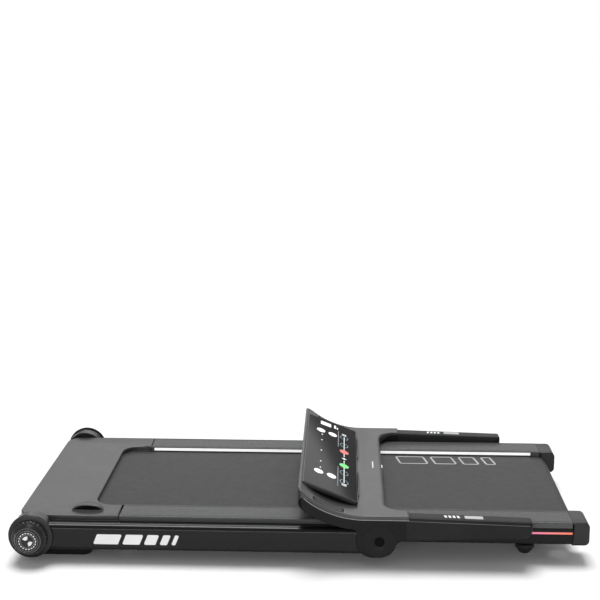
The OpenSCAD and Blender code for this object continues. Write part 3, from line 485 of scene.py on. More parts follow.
lid_rows = [lid_row(0.0, 0.86), lid_row(0.0, 0.88), lid_row(0.0, 0.97), lid_row(0.0, 1.0)]
lid_rows[0][:, 1] += 0.0012
lid_rows[3][:, 1] += 0.0006
lid_rows += [lid_row(back, 1.0) for back in (0.06, 0.14, 0.25, 0.4, 0.55, 0.7, 0.85, 1.0)]
# Painted shade: the dome takes a darker copy of the hood's grey, standing in for the shade on its top.
scoop_shaded_grey = moulded("scoop_shaded_grey", (0.019, 0.019, 0.020), (0.025, 0.025, 0.026), 0.30, 0.00008)
scoop = piece("hood_scoop_skin", *loft(np.stack(lid_rows, axis=1)), scoop_shaded_grey, base, ["hood_scoop"],
              flip=True, crease=50)
# Painted shade: a thin black sheet across the scoop's mouth stands for the shade inside the inlet.
angle = np.linspace(0, math.pi, 30)
mouth_shade = np.column_stack([scoop_x - 0.885 * scoop_half * np.cos(angle), np.full(30, scoop_front + 0.0011),
                         scoop_z + 0.0002 + 0.885 * scoop_tall * np.sin(angle)])
painted_shade_black = moulded("painted_shade_black", (0.002, 0.002, 0.002), (0.003, 0.003, 0.003), 0.8, shine=0.1)
inlet_shade = piece("scoop_mouth_shade", *loft([mouth_shade, mouth_shade + np.array((0.0, 0.0004, 0.0))]), painted_shade_black, base)
sill_plan = rounded([(scoop_x - scoop_half, scoop_front - 0.0042, 0.0018),
                     (scoop_x + scoop_half, scoop_front - 0.0042, 0.0018),
                     (scoop_x + scoop_half, scoop_front - 0.0006, 0.0015),
                     (scoop_x - scoop_half, scoop_front - 0.0006, 0.0015)], 4)
sill = piece("scoop_sill", *loft(slab(sill_plan, scoop_z, scoop_z + 0.002, 0, 0.001)), hood_grey, base)


# ---- Hub brackets ----
# Black painted castings at the front corners: a drum round the hinge bolt and a foot block
# under the beam, rounded at its rear end; bolted to the beams.
bracket_low, bracket_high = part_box("hub_bracket_right")


def disc(profile, x, z, steps=96, shape=None):
    """A turned piece about an axle along Y at (x, z): profile holds (radius, y) from its inner
    end to its outer end; shape may change the radius with the angle."""
    angles = np.linspace(0, 2 * math.pi, steps, endpoint=False)
    rings = []
    for index, (radius, y) in enumerate(profile):
        radii = radius + (shape(index, angles) if shape else 0.0 * angles)
        rings.append(np.column_stack([x + radii * np.cos(angles), np.full(steps, y),
                                      z + radii * np.sin(angles)]))
    return turned_over(loft(rings))


foot_outline = rounded([(hub.x + 0.006, 0.0, 0.004), (bracket_high.x, 0.0, 0.018),
                        (bracket_high.x, 0.052, 0.001), (hub.x + 0.006, 0.052, 0.001)], 8)
drum_r = 0.050
drum_angles = np.linspace(-math.pi - 0.495, 0.495, 60)
drum_outline = np.column_stack([hub.x + drum_r * np.cos(drum_angles), hub.z + drum_r * np.sin(drum_angles)])
bracket = joined(upright_slab(foot_outline, bracket_low.y, 0.3015, 0.003, 0.003),
                 upright_slab(drum_outline, bracket_low.y, bracket_high.y, 0.002, 0.002))
satin_black = moulded("satin_black", (0.008, 0.008, 0.009), (0.012, 0.012, 0.013), 0.34, 0.0001, 0.15)
both_sides("hub_bracket", bracket, satin_black, base)


# ---- Uprights ----
# Flat-oval steel tubes, painted black, welded to the hub drums; the upper end is closed and
# carries the flat eye of the console hinge. Plain slanting bars are printed on the outside.
upright_low, upright_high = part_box("upright_right")
tube_in, tube_out = upright_low.y, upright_high.y
tube_half, tube_z = 0.032, hub.z - 0.004
eye_r = 0.035
tube_end = pivot.x - 0.041 - 0.002
tube_section = rounded([(tube_in, tube_z - tube_half, 0.012), (tube_out, tube_z - tube_half, 0.012),
                        (tube_out, tube_z + tube_half, 0.012), (tube_in, tube_z + tube_half, 0.012)], 12)
tube_stations = [(hub.x + 0.030, 0.0), (tube_end - 0.0008, 0.0), (tube_end, 0.0008)]
tube = loft([[(x, y, z) for y, z in inset(tube_section, depth)] for x, depth in tube_stations])
lap_y = (tube_in + tube_out) / 2
eye = disc([(eye_r - 0.001, tube_in), (eye_r, tube_in + 0.001), (eye_r, lap_y - 0.0013),
            (eye_r - 0.001, lap_y - 0.0003)], pivot.x, hub.z)
neck_outline = np.array([(tube_end - 0.02, hub.z - 0.023), (pivot.x, hub.z - 0.023),
                         (pivot.x, hub.z + 0.023), (tube_end - 0.02, hub.z + 0.023)])
neck = upright_slab(neck_outline, tube_in + 0.0002, lap_y - 0.0004, 0, 0)
tube_black = moulded("painted_tube", (0.007, 0.007, 0.008), (0.009, 0.009, 0.010), 0.18, shine=0.22)
both_sides("upright", joined(tube, eye, neck), tube_black, uprights)


def plates(shapes, low, high):
    """Flat plates from outlines in (u, v), each from height low to high."""
    return joined(*[loft(slab(shape, low, high)) for shape in shapes])


def slanted_bar(u, width, low, high, lean, radius):
    """A bar with round corners whose top is shifted by lean, as an outline in (u, v)."""
    return rounded([(u, low, radius), (u + width, low, radius), (u + width + lean, high, radius),
                    (u + lean, high, radius)], 5)


mark_white = moulded("mark_white", (0.78, 0.78, 0.78), (0.84, 0.84, 0.84), 0.5)
bars = [slanted_bar(hub.x + 0.150 + start, width, 0.0475, 0.0725, 0.010, 0.003)
        for start, width in ((0.0, 0.060), (0.070, 0.042), (0.122, 0.028), (0.160, 0.018), (0.188, 0.010))]
bar_points, bar_faces = plates(bars, tube_out, tube_out + 0.0003)
for side, word in ((1, "right"), (-1, "left")):
    marks = piece(f"upright_bars_{word}", across(standing(bar_points), side), bar_faces, mark_white, uprights,
                  flip=side > 0)


# ---- Lower hubs ----
# Cast drums at the feet of the uprights with a wider outer disc, its rim rounded and a ring
# groove turned in its face; they turn on the hinge bolts.
hub_low, hub_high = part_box("lower_hub_right")
hub_r = (hub_high.x - hub_low.x) / 2
disc_in = hub_high.y - 0.006
hub_profile = [(drum_r - 0.001, hub_low.y), (drum_r, hub_low.y + 0.001), (drum_r, disc_in),
               (hub_r - 0.0015, disc_in), (hub_r, disc_in + 0.0015), (hub_r, hub_high.y - 0.0025),
               (hub_r - 0.0008, hub_high.y - 0.0008), (hub_r - 0.0025, hub_high.y)]
hub_black = moulded("hub_black", (0.010, 0.010, 0.011), (0.014, 0.014, 0.015), 0.26, 0.0001, 0.3)
both_sides("lower_hub", disc(hub_profile, hub.x, hub.z), hub_black, uprights)


# ---- Lock knobs ----
# Stepped dials that clamp the hinges: a scalloped grip ring, a cone, and a flat face with two
# pale rims that are painted highlights of its edges, and a ring of plain index marks; screwed on the hinge bolts.
knob_low, knob_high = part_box("lock_knob_right")
knob_r = (knob_high.x - knob_low.x) / 2
y0, y1 = knob_low.y, knob_high.y


def scallops(index, angles):
    """How much the grip ring's radius changes: less 1.6 mm times the squared cosine of 24 turns."""
    return -0.0016 * np.maximum(np.cos(24 * angles), -0.2) ** 2 if 2 <= index <= 4 else 0.0 * angles


knob_profile = [(knob_r - 0.003, y0), (knob_r, y0 + 0.001), (knob_r, y0 + 0.003), (knob_r, y0 + 0.010),
                (knob_r - 0.001, y0 + 0.0125), (knob_r - 0.003, y0 + 0.014), (knob_r - 0.0055, y0 + 0.0142),
                (knob_r - 0.0062, y0 + 0.015), (0.0305, y1 - 0.0032), (0.0298, y1 - 0.0026), (0.0272, y1 - 0.0026),
                (0.0266, y1 - 0.0020), (0.0262, y1 - 0.0008), (0.0252, y1 - 0.0002), (0.0172, y1 - 0.0002),
                (0.0168, y1 - 0.0006), (0.0158, y1 - 0.0006), (0.0154, y1 - 0.0002)]
knob_black = moulded("knob_black", (0.012, 0.012, 0.013), (0.020, 0.020, 0.021), 0.26, 0.0001, 0.3)
both_sides("lock_knob", disc(knob_profile, hub.x, hub.z, 192, scallops), knob_black, "lock_knob_SIDE")
# Painted highlight: thin pale grey rings at the edges of the face and the cone stand for the light caught there.
highlight_grey = moulded("knob_highlight_rim", (0.10, 0.10, 0.102), (0.16, 0.16, 0.163), 0.3, shine=0.5)
knob_highlight_rims = joined(disc([(0.0262, y1 - 0.0010), (0.0262, y1 - 0.0004), (0.0256, y1),
                         (0.0248, y1 - 0.0003)], hub.x, hub.z),
                   disc([(0.0312, y1 - 0.0036), (0.0312, y1 - 0.0029), (0.0306, y1 - 0.0025),
                         (0.0298, y1 - 0.0029)], hub.x, hub.z))
both_sides("knob_highlight_rim", knob_highlight_rims, highlight_grey, "lock_knob_SIDE", nodes=False)


def ring_marks(x, z, low, high, marks):
    """Short arcs about an axle along Y: marks holds (angle, span, inner radius, outer radius)."""
    made = []
    for middle, width, inner, outer in marks:
        angles = np.linspace(middle - width / 2, middle + width / 2, 6)
        rim = np.stack([np.cos(angles), np.sin(angles)], axis=1)
        outline = np.concatenate([inner * rim[::-1], outer * rim]) + np.array((x, z))
        points, faces = loft(slab(outline, low, high))
        made.append(turned_over((standing(points), faces)))
    return joined(*made)


face_marks = [(math.radians(a), 0.20, 0.0190, 0.0212) for a in range(0, 360, 20)]
face_marks += [(math.radians(a), 1.3, 0.004, 0.0125) for a in (120, -40)]
dial_marks = ring_marks(hub.x, hub.z, y1 - 0.0003, y1, face_marks)
for side, word in ((1, "right"), (-1, "left")):
    marks = piece(f"knob_marks_{word}", across(dial_marks[0], side), dial_marks[1], mark_white,
                  f"lock_knob_{word}", flip=side < 0)


# ---- Console shell ----
# The grey upper shell: a tray that sweeps up to the front, a crossbar behind the display and
# a wing on each side, all one moulding with rounded rims, hollow below, clipped to the arms.
console_low, console_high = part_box("console_top")
tip_x, wing_x, out_y = console_low.x, console_high.x, console_high.y
bar_z, bar_x, bar_under = 0.130, pivot.x + 0.016, 0.107
sweep_x, sweep_r = pivot.x - 0.036, 0.220
sweep_z = bar_z + sweep_r
nose_r, wing_y, inner_r = 0.026, 0.309, wing_x - bar_x - 0.002


def sweep_height(x, depth=0.0):
    """Height of the console's top at x, or of the surface depth below it: level behind the
    sweep's foot, and a circle about the sweep's centre before it."""
    x = np.asarray(x, dtype=float)
    radius = sweep_r + depth
    return sweep_z - np.sqrt(radius ** 2 - np.minimum(x - sweep_x, 0.0) ** 2)


arc = np.linspace(0, math.pi / 2, 9)
half = [(tip_x + nose_r * (1 - math.cos(a)), -out_y + nose_r * (1 - math.sin(a))) for a in arc]
half += [(x, -out_y) for x in np.linspace(tip_x + nose_r, sweep_x, 30)[1:]]
sweep_count = len(half) - 1
half += [(wing_x - 0.003 + 0.003 * math.sin(a), -out_y + 0.003 * (1 - math.cos(a))) for a in arc[::2]]
half += [(wing_x - 0.001 * (1 - math.cos(a)), -wing_y - 0.001 * (1 - math.sin(a))) for a in arc[::4]]
half += [(bar_x + inner_r - inner_r * math.sin(a), -wing_y + inner_r * (1 - math.cos(a)))
         for a in np.linspace(0, math.pi / 2, 20)]
half += [(bar_x, y) for y in np.linspace(-wing_y + inner_r, 0, 6)[1:-1]]
half = np.array(half)
shell_plan = np.concatenate([half, half[::-1] * np.array((1, -1))])
on_bar = np.clip((half[:, 0] - 0.5 * (bar_x + wing_x)) / (bar_x - 0.5 * (bar_x + wing_x)), 0, 1)
on_bar = np.where((np.abs(half[:, 1]) < wing_y + 0.0005) & (half[:, 0] > sweep_x), on_bar, 0.0)
on_nose = np.clip((np.abs(half[:, 1]) - out_y + nose_r) / nose_r, 0, 1)
on_nose = np.where(half[:, 0] < tip_x + nose_r, 1 - on_nose, 0.0)
rim = 0.0035 + 0.0075 * on_bar + 0.0060 * on_nose
foot = (sweep_height(half[:, 0]) - 0.008) * (1 - on_bar) + bar_under * on_bar
foot = foot * (1 - on_nose) + on_nose * sweep_height(half[:, 0], 0.036)
rim, foot = (np.concatenate([v, v[::-1]]) for v in (rim, foot))


def shell_loop(depth, drop):
    """The shell's outline drawn in by depth, at drop below the swept top."""
    plan = inset(shell_plan, depth)
    plan[:, 0] = np.maximum(plan[:, 0], tip_x)
    return np.column_stack([plan, sweep_height(plan[:, 0]) - drop])


shell_wall = 0.003
inner_loop = shell_loop(np.full(len(shell_plan), shell_wall), shell_wall)
inner_foot, outer_foot = inner_loop.copy(), shell_loop(np.zeros(len(shell_plan)), 0.0)
inner_foot[:, 2], outer_foot[:, 2] = foot, foot
shell_rings = [inner_loop, inner_foot, outer_foot]
shell_rings += [shell_loop(rim * (1 - math.cos(a)), rim * (1 - math.sin(a))) for a in arc]
console_grey = moulded("console_grey", (0.036, 0.036, 0.037), (0.044, 0.044, 0.045), 0.34, 0.0001)
shell = piece("console_top_skin", *loft(shell_rings, strip=sweep_count), console_grey, console, ["console_top"],
              crease=45)
bar_outline = rounded([(bar_x - 0.0265, -0.002, 0.001), (bar_x - 0.0235, -0.002, 0.001),
                       (bar_x - 0.0235, 0.050, 0.001), (bar_x - 0.0265, 0.050, 0.001)], 3)
bar_mark = piece("crossbar_mark", *plates([bar_outline], bar_z, bar_z + 0.0002), mark_white, console)


# ---- Side arms ----
# Black mouldings under the shell's wings: a swept arm with a pale bead along its top that is a painted
# highlight of the glossy edge, the boss that laps over the upright's eye under a round cover with a bore,
# the bore's dark a black disc of painted shade, and the handrail's stub.
boss_r, arm_t, skirt = 0.041, 0.036, 0.0055
skirt_x, near_r = pivot.x - 0.015, 0.012
reach_a, reach_b = boss_r + near_r, sweep_r + arm_t + near_r
span_x, span_z = sweep_x - skirt_x, sweep_z - hub.z
span_l = math.hypot(span_x, span_z)
round_on = (reach_a ** 2 - reach_b ** 2 + span_l ** 2) / (2 * span_l)
round_off = math.sqrt(reach_a ** 2 - round_on ** 2)
near_x = skirt_x + (round_on * span_x - round_off * span_z) / span_l
near_z = hub.z + (round_on * span_z + round_off * span_x) / span_l
far_z, far_r = 0.127 - 0.060 - 0.014, 0.014
far_x = pivot.x + math.sqrt((boss_r + far_r) ** 2 - (far_z - hub.z) ** 2)


def arc_points(x, z, radius, start, end, count):
    """Points (x, z) on a circle from angle start to end."""
    angles = np.linspace(start, end, count)
    return np.column_stack([x + radius * np.cos(angles), z + radius * np.sin(angles)])


def toward(x0, z0, x1, z1):
    """The angle of the direction from one point to another."""
    return math.atan2(z1 - z0, x1 - x0)


def arm_outline(top, bottom, boss):
    """The arm's outline in (X, Z): a swept underside, then with boss its concave round, the boss
    drawn out forwards and the round behind it, else a level underside; then back along the top."""
    under, end_x = sweep_r + arm_t, wing_x + 0.002
    lean = toward(sweep_x, sweep_z, near_x, near_z)
    foot_x = sweep_x + under * math.cos(lean)
    xs = np.linspace(tip_x, foot_x, 34)
    low_z = np.maximum(sweep_height(xs, arm_t), bottom)
    rows = [np.column_stack([xs, low_z])]
    if boss:
        rows.append(arc_points(near_x, near_z, near_r, lean + math.pi,
                               toward(near_x, near_z, skirt_x, hub.z), 10)[1:])
        start = toward(skirt_x, hub.z, near_x, near_z)
        end = toward(pivot.x, hub.z, far_x, far_z) + 2 * math.pi
        rows.append(arc_points(skirt_x, hub.z, boss_r, start % (2 * math.pi), 1.5 * math.pi, 24)[1:])
        rows.append(arc_points(pivot.x, hub.z, boss_r, 1.5 * math.pi, end, 36))
        rows.append(arc_points(far_x, far_z, far_r, toward(far_x, far_z, pivot.x, hub.z),
                               math.pi / 2, 8)[1:])
        rows.append(np.array([(end_x, far_z + far_r)]))
    else:
        rows.append(np.array([(pivot.x + 0.037, bottom), (pivot.x + 0.037, far_z + far_r),
                              (end_x, far_z + far_r)]))
    rows.append(np.array([(end_x, bar_z - top), (sweep_x, bar_z - top)]))
    rows.append(np.column_stack([xs, sweep_height(xs, top)])[::-1])
    return np.concatenate(rows)


def nose_round(points):
    """Draws the arm's thickness in towards the front so that it follows the round corner."""
    points = np.array(points)
    before = np.clip(tip_x + nose_r - points[:, 0], 0, nose_r)
    limit = out_y - nose_r + np.sqrt(nose_r ** 2 - before ** 2)
    points[:, 1] = wing_y + (points[:, 1] - wing_y) * (limit - wing_y) / (out_y - wing_y)
    return points


outer_outline = arm_outline(0.0084, 0.0, True)
inner_outline = arm_outline(0.0084, 0.103, False)
arm = joined(upright_slab(outer_outline, out_y - skirt, out_y - 0.0006, 0.0, 0.003, strip=33),
             upright_slab(inner_outline, wing_y, out_y - skirt + 0.0002, 0.002, 0.0, strip=33),
             disc([(boss_r, lap_y), (boss_r, out_y - skirt)], pivot.x, hub.z))
arm_black = moulded("arm_black", (0.007, 0.007, 0.008), (0.010, 0.010, 0.011), 0.27, 0.0001, 0.12)
both_sides("side_arm", (nose_round(arm[0]), arm[1]), arm_black, console)
# Painted highlight: a thin pale strip along the arm's top edge stands for the bright line the light draws there.
highlight_x = np.linspace(tip_x, sweep_x, 34)
highlight_outline = np.concatenate([np.column_stack([highlight_x, sweep_height(highlight_x, 0.0102)]),
                               [(wing_x, bar_z - 0.0102), (wing_x, bar_z - 0.0088)],
                               np.column_stack([highlight_x, sweep_height(highlight_x, 0.0088)])[::-1]])
highlight_strip = upright_slab(highlight_outline, out_y - 0.003, out_y - 0.0001, 0.0, 0.0003, strip=33)
painted_highlight_grey = moulded("painted_highlight_grey", (0.30, 0.30, 0.305), (0.38, 0.38, 0.385), 0.3)
both_sides("arm_highlight_bead", (nose_round(highlight_strip[0]), highlight_strip[1]), painted_highlight_grey, console, nodes=False)
cover = disc([(0.0396, out_y - 0.0010), (0.0396, out_y - 0.0004), (0.0390, out_y), (0.0142, out_y),
              (0.0136, out_y - 0.0003), (0.0124, out_y - 0.0003), (0.0118, out_y - 0.0010)], pivot.x, hub.z)
# Painted shade: a black disc at the foot of the cover's shallow recess stands for the dark inside of the bore.
bore_shade = disc([(0.0124, out_y - 0.0009), (0.0120, out_y - 0.0004)], pivot.x, hub.z, 64)
both_sides("boss_cover", cover, gloss_black, console, nodes=False)
both_sides("boss_bore_shade", bore_shade, painted_shade_black, console, nodes=False)


# ---- Hand grips ----
# Black rubber sleeves over the steel handrails, tapering to the rear, with soft edges, a fine
# pale ridge that is a painted highlight along the top outer edge, and a large round at the lower rear corner;
# plain marks and a metal pulse plate on top.
grip_low, grip_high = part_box("grip_right")
grip_end, grip_top, grip_end_top = grip_high.x, grip_high.z, grip_high.z - 0.008
grip_outline = rounded([(grip_low.x - 0.012, grip_top - 0.0598, 0), (grip_end, grip_end_top - 0.042, 0.024),
                        (grip_end, grip_end_top, 0.006), (grip_low.x - 0.012, grip_top + 0.0003, 0)], 8)
grip_rubber = moulded("grip_rubber", (0.009, 0.009, 0.010), (0.015, 0.015, 0.016), 0.42, 0.0002, 0.15, 1400.0)
both_sides("grip", upright_slab(grip_outline, grip_low.y + 0.0004, grip_high.y - 0.0004, 0.008, 0.008, steps=6),
           grip_rubber, console)
# Painted highlight: a thin pale grey ridge along the grip's top outer edge stands for the bright line of light
# there.
highlight_ridge = np.array([(grip_low.x, grip_top - 0.0085), (grip_end - 0.007, grip_end_top - 0.0083),
                  (grip_end - 0.007, grip_end_top - 0.0073), (grip_low.x, grip_top - 0.0075)])
both_sides("grip_highlight_ridge", upright_slab(highlight_ridge, grip_high.y - 0.003, grip_high.y - 0.0001, 0.0, 0.0002), highlight_grey,
           console, nodes=False)
fall = math.atan2(0.008, grip_end - grip_low.x)


def on_grip(points, side):
    """Plate points (distance behind the grip's front, Y, height over its sloping top) placed."""
    points = np.array(points)
    return np.column_stack([grip_low.x + points[:, 0] * math.cos(fall) + points[:, 2] * math.sin(fall),
                            side * points[:, 1],
                            grip_top - points[:, 0] * math.sin(fall) + points[:, 2] * math.cos(fall)])


plate_outline = rounded([(0.132, 0.3215, 0.003), (0.176, 0.3215, 0.003), (0.176, 0.3395, 0.003),
                         (0.132, 0.3395, 0.003)], 5)
signs = [slanted_bar(0.083 + 0.010 * i, 0.006, 0.323, 0.337, 0.002, 0.0015) for i in range(4)]
plate_metal = moulded("pulse_plate", (0.42, 0.42, 0.43), (0.50, 0.50, 0.51), 0.35, 0.00005)
plate_part, sign_part = plates([plate_outline], -0.0002, 0.0005), plates(signs, -0.0002, 0.0002)
pulse = piece("pulse_plates_skin", *joined((on_grip(plate_part[0], 1), plate_part[1]),
                                           turned_over((on_grip(plate_part[0], -1), plate_part[1]))),
              plate_metal, console, ["pulse_plates"])
signs = piece("grip_signs", *joined((on_grip(sign_part[0], 1), sign_part[1]),
                                    turned_over((on_grip(sign_part[0], -1), sign_part[1]))), mark_white, console)


# ---- Display ----
# A flat black tray that stands tilted on the console, with two lips at its rear edge for a
# tablet, and a sheet of black glass let into it; held by screws from below.
tilt = math.radians(21.3)
display_place = np.array((pivot.x - 0.050, 0.0, bar_z + 0.009))
display_l, display_half, display_t = 0.146, 0.284, 0.010


def on_display(points):
    """Points (along the tilt, Y, height over the glass) placed on the display."""
    points = np.asarray(points, dtype=float)
    return np.column_stack([display_place[0] + points[:, 0] * math.cos(tilt) + points[:, 2] * math.sin(tilt),
                            points[:, 1],
                            display_place[2] - points[:, 0] * math.sin(tilt) + points[:, 2] * math.cos(tilt)])


def placed(part):
    """A part given in the display's own frame, placed on it."""
    return on_display(part[0]), part[1]


def box_plan(x0, x1, y0, y1, radius):
    """The outline of a rectangle with round corners."""
    return rounded([(x0, y0, radius), (x1, y0, radius), (x1, y1, radius), (x0, y1, radius)], 6)


tray = loft(slab(box_plan(-display_l, 0.0, -display_half, display_half, 0.005), -display_t, -0.0003,
                 0.001, 0.0012))
lips = []
for middle in (-0.1445, 0.1445):
    spread = np.linspace(-1, 1, 25)
    crest = 0.005 - 0.0055 * spread ** 2
    lips.append(loft([[(-0.0005, middle + 0.0875 * s, -0.0065), (0.0030, middle + 0.0875 * s, -0.0065),
                       (0.0030, middle + 0.0875 * s, h - 0.0008), (0.0022, middle + 0.0875 * s, h),
                       (-0.0002, middle + 0.0875 * s, h), (-0.0005, middle + 0.0875 * s, h - 0.0004)]
                      for s, h in zip(spread, crest)]))
panel_black = moulded("panel_black", (0.010, 0.010, 0.011), (0.014, 0.014, 0.015), 0.3, shine=0.4)
housing = piece("display_housing_skin", *joined(placed(tray), *[turned_over(placed(lip)) for lip in lips]),
                panel_black, console, ["display_housing"])
glass_plan = box_plan(-display_l + 0.003, -0.003, -display_half + 0.003, display_half - 0.003, 0.003)
glass_part = placed(loft(slab(glass_plan, -0.002, 0.0001, 0, 0.0004)))
glass_black = moulded("black_glass", (0.005, 0.005, 0.0055), (0.007, 0.007, 0.0075), 0.10, shine=0.05)
glass = piece("display_glass_skin", *glass_part, glass_black, console, ["display_glass"])


# ---- Display graphics ----
# Plain printed signs under the glass, most of their inks made to glow a little as painted light: four white
# ovals, a white panel, grey bars, small dots and a row of keys with rings, a red stop key and a green start key
# on a thin white line.
def oval(x, y, rx, ry, steps=28):
    """An ellipse as an outline."""
    angles = np.linspace(0, 2 * math.pi, steps, endpoint=False)
    return np.column_stack([x + rx * np.cos(angles), y + ry * np.sin(angles)])


def rings_of(shapes, width, low, high):
    """Each closed outline as a flat ring, width wide inwards."""
    made = []
    for shape in shapes:
        inner = inset(shape, width)
        rows = [np.column_stack([plan, np.full(len(plan), z)])
                for plan, z in ((shape, low), (shape, high), (inner, high), (inner, low))]
        made.append(loft(rows, closed=True))
    return joined(*made)


def glow_paint(name, colour, strength):
    """Ink that also glows a little, its strength drifting slightly."""
    made, tree, shader = node_material(name)
    dim = tuple(0.9 * c for c in colour)
    tint = ramp(tree, object_noise(tree, 60.0), dim, colour)
    link(tree, tint, shader.inputs["Base Color"])
    link(tree, tint, shader.inputs["Emission Color"])
    link(tree, span(tree, object_noise(tree, 25.0), strength * 0.9, strength * 1.1),
         shader.inputs["Emission Strength"])
    shader.inputs["Roughness"].default_value = 0.4
    return made


low, high = 0.0001, 0.0003
white_shapes = [oval(x, y, 0.0125, 0.0155) for x in (-0.106, -0.0715) for y in (-0.168, 0.171)]
white_shapes += [box_plan(-0.108, -0.077, 0.228, 0.258, 0.003), box_plan(-0.068, -0.062, 0.232, 0.260, 0.001),
                 box_plan(-0.060, -0.056, 0.232, 0.246, 0.001)]
white_shapes += [oval(-0.102, y, 0.0020, 0.004, 12) for y in (-0.135, -0.087, 0.001, 0.089, 0.137)]
white_shapes += [box_plan(-0.0385, -0.0365, y0, y1, 0.0005)
                 for y0, y1 in ((0.072, 0.186), (-0.186, -0.070), (-0.040, -0.016), (0.016, 0.040))]
white_shapes += [box_plan(-0.044, -0.031, y - 0.002, y + 0.002, 0.001)
                 for y in (0.200, 0.208, -0.196, -0.204, 0.0)]
white_shapes += [box_plan(-0.040, -0.035, -0.006, 0.006, 0.001)]
# Painted light: the printed inks glow though nothing lights them from behind.
ink_white = glow_paint("ink_white", (0.85, 0.86, 0.86), 0.35)
white_ink = piece("display_white", *placed(plates(white_shapes, low, high)), ink_white, console)
ring_shapes = [oval(-0.0375, y, 0.0115, 0.0150) for y in (0.179, 0.112, -0.112, -0.179)]
ink_blue = glow_paint("ink_blue", (0.30, 0.52, 0.58), 0.15)
blue_ink = piece("display_rings", *placed(rings_of(ring_shapes, 0.0012, low, high)), ink_blue, console)
grey_shapes = [box_plan(-0.0560, -0.0530, 0.085, 0.222, 0.001), box_plan(-0.0560, -0.0530, -0.222, -0.078, 0.001)]
ink_grey = glow_paint("ink_grey", (0.16, 0.16, 0.165), 0.0)
grey_ink = piece("display_bars", *placed(plates(grey_shapes, low, high)), ink_grey, console)
for word, y, colour in (("stop", 0.056, (0.62, 0.13, 0.11)), ("start", -0.056, (0.13, 0.60, 0.17))):
    key = piece(f"display_{word}", *placed(plates([oval(-0.0375, y, 0.0130, 0.0150)], low, high)),
                glow_paint(f"ink_{word}", colour, 0.45), console)


# ---- Speaker grilles ----
# A long black pill in each wing, its black a painted shade of the slots, pale round its rim as a painted
# highlight, with four grey ribs along it that follow the sweep; pushed into the shell from below.
speaker_x, speaker_y = pivot.x - 0.122, (tube_in + out_y) / 2


def over_shell(part, side=1):
    """Plate points (X, Y, height over the swept top) laid on the console, or mirrored."""
    points = np.array(part[0])
    points[:, 2] += sweep_height(points[:, 0])
    return across(points, side), part[1]


def strip_plate(x0, x1, y0, y1, radius, low, high, steps=20):
    """A long plate along X with round ends, cut into steps so that it can bend."""
    xs = np.concatenate([x0 + radius * (1 - np.cos(np.linspace(0, math.pi / 2, 7))),
                         np.linspace(x0 + radius, x1 - radius, steps)[1:-1],
                         x1 - radius * (1 - np.sin(np.linspace(0, math.pi / 2, 7)))])
    half_y = np.full(len(xs), (y1 - y0) / 2)
    edge = np.minimum(np.minimum(xs - x0, x1 - xs), radius)
    half_y -= radius - np.sqrt(np.maximum(radius ** 2 - (radius - edge) ** 2, 1e-9))
    middle = (y0 + y1) / 2
    return turned_over(loft([[(x, middle - h, low), (x, middle - h, high), (x, middle + h, high),
                              (x, middle + h, low)] for x, h in zip(xs, half_y)]))


# Painted shade: a black plate laid on the shell stands for the dark recess between the ribs.
shade_part = strip_plate(speaker_x - 0.038, speaker_x + 0.038, speaker_y - 0.0145, speaker_y + 0.0145, 0.0075,
                        -0.001, 0.0002)
pill_highlight_rim = strip_plate(speaker_x - 0.040, speaker_x + 0.040, speaker_y - 0.0158, speaker_y + 0.0158, 0.0088,
                       -0.001, 0.0001)
rib_parts = joined(*[strip_plate(speaker_x - 0.033, speaker_x + 0.033, speaker_y + y - 0.0017,
                                 speaker_y + y + 0.0017, 0.0017, -0.001, 0.0012)
                     for y in (-0.0096, -0.0032, 0.0032, 0.0096)])
speaker_shade_black = moulded("speaker_shade_black", (0.006, 0.006, 0.006), (0.009, 0.009, 0.009), 0.6, shine=0.2)
slot_shade = piece("speaker_slot_shade", *joined(over_shell(shade_part), turned_over(over_shell(shade_part, -1))),
              speaker_shade_black, console)
# Painted highlight: the pale rim stands for the light caught on the recess edge.
rim_highlight_paint = moulded("speaker_rim_highlight", (0.085, 0.085, 0.087), (0.11, 0.11, 0.112), 0.35, shine=0.5)
rim_highlights = piece("speaker_rim_highlights", *joined(over_shell(pill_highlight_rim), turned_over(over_shell(pill_highlight_rim, -1))), rim_highlight_paint,
             console)
ribs = piece("speaker_grilles_skin", *joined(over_shell(rib_parts), turned_over(over_shell(rib_parts, -1))),
             console_grey, console, ["speaker_grilles"])


# ---- Belt marks ----
# A row of plain outlined bars printed on the belt near its rear end, worn grey.
belt_top = belt_mid_z + belt_r
mark_bars = [rounded([(hub.x + 0.905 + start, 0.146, 0.008), (hub.x + 0.905 + start + width, 0.146, 0.008),
                      (hub.x + 0.893 + start + width, 0.208, 0.008), (hub.x + 0.893 + start, 0.208, 0.008)], 5)
             for start, width in ((0.0, 0.080), (0.096, 0.062), (0.174, 0.046), (0.236, 0.030))]
belt_ink = moulded("belt_ink", (0.36, 0.36, 0.36), (0.50, 0.50, 0.50), 0.6)
belt_marks = piece("belt_marks", *rings_of(mark_bars, 0.0050, belt_top - 0.0002, belt_top + 0.0003), belt_ink, base)


# ---- Bought-in and hidden parts ----
# Steel, board, motor, electrics, feet and wheels keep their CAD shapes; each takes a finish
# with the marks of how it is made: brushed, cast, sawn, soldered or moulded.
def metal(name, dark, pale, rough, stretch=(1.0, 1.0, 1.0)):
    """Bare metal with fine tool marks drawn out along one axis."""
    made, tree, shader = node_material(name)
    lines = object_noise(tree, 300.0, 3.0, stretch)
    link(tree, ramp(tree, lines, dark, pale, 0.3, 0.7), shader.inputs["Base Color"])
    link(tree, span(tree, lines, rough * 0.8, rough * 1.25), shader.inputs["Roughness"])
    bump(tree, shader, lines, 0.00005, 0.5)
    shader.inputs["Metallic"].default_value = 1.0
    return made


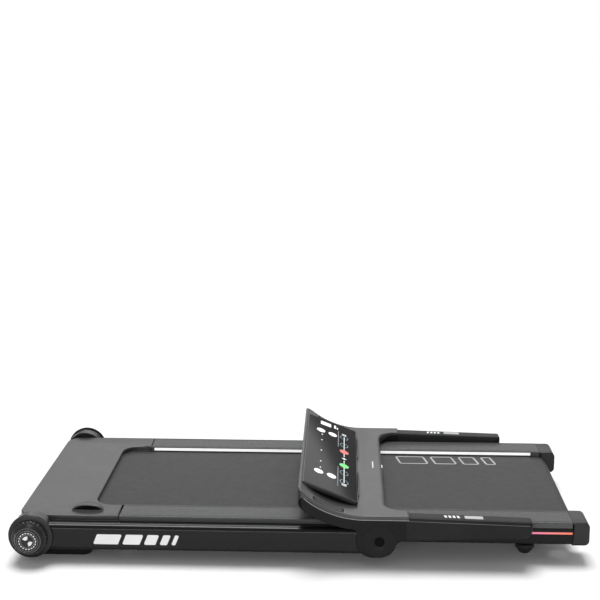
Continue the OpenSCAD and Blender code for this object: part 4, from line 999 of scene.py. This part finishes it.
def grained(name, dark, pale, rough, stretch):
    """Pressed board: fibres drawn out along the board, slightly raised."""
    made, tree, shader = node_material(name)
    fibres = object_noise(tree, 120.0, 6.0, stretch)
    link(tree, ramp(tree, fibres, dark, pale, 0.3, 0.7), shader.inputs["Base Color"])
    link(tree, span(tree, fibres, rough * 0.85, rough * 1.1), shader.inputs["Roughness"])
    bump(tree, shader, fibres, 0.0002, 0.5)
    return made


finishes = {
    "steel_turned": (metal("steel_turned", (0.50, 0.50, 0.51), (0.66, 0.66, 0.67), 0.28, (1, 12, 1)),
                     ("pivot_bolts", "front_roller", "rear_roller", "front_axle", "rear_axle", "roller_bearings",
                      "axle_adjusters", "pan_screws", "wheel_axles", "console_pins", "motor_rotor")),
    "steel_drawn": (metal("steel_drawn", (0.40, 0.40, 0.41), (0.52, 0.52, 0.53), 0.36, (12, 1, 1)),
                    ("handrail_tubes", "motor_mount")),
    "frame_paint": (moulded("frame_paint", (0.016, 0.016, 0.017), (0.024, 0.024, 0.025), 0.45, 0.0002, 0.4, 500.0),
                    ("side_beam_left", "side_beam_right", "cross_members")),
    "board": (grained("board", (0.030, 0.024, 0.019), (0.050, 0.040, 0.032), 0.5, (10, 1, 1)), ("running_board",)),
    "rubber": (moulded("rubber", (0.012, 0.012, 0.012), (0.022, 0.022, 0.022), 0.7, 0.0003, 0.3, 700.0),
               ("board_cushions", "rear_feet", "transport_wheel_left", "transport_wheel_right", "drive_belt")),
    "cast_motor": (moulded("cast_motor", (0.03, 0.03, 0.032), (0.05, 0.05, 0.052), 0.5, 0.0004, 0.4, 350.0),
                   ("motor_body",)),
    "circuit": (moulded("circuit", (0.01, 0.09, 0.03), (0.02, 0.15, 0.05), 0.45, 0.0003, 0.5, 250.0),
                ("motor_controller",)),
    "tray_black": (moulded("tray_black", (0.012, 0.012, 0.012), (0.018, 0.018, 0.018), 0.5, 0.0003, 0.35, 600.0),
                   ("belly_pan", "console_bottom", "power_inlet", "switch_body", "breaker_collar")),
    "trim_white": (glow_paint("trim_white", (0.86, 0.86, 0.86), 0.75), ("inner_light_strips",)),
    "rocker_red": (moulded("rocker_red", (0.42, 0.02, 0.02), (0.52, 0.03, 0.03), 0.3, 0.0001), ("rocker_switch",)),
    "button_white": (moulded("button_white", (0.62, 0.62, 0.60), (0.70, 0.70, 0.68), 0.35, 0.0001),
                     ("breaker_button",)),
    "socket_metal": (metal("socket_metal", (0.55, 0.55, 0.56), (0.70, 0.70, 0.71), 0.3, (1, 8, 1)),
                     ("safety_key_socket",)),
}
for finish, nodes in finishes.values():
    for name in nodes:
        mesh = frame["nodes"][name].data
        mesh.materials.clear()
        mesh.materials.append(finish)
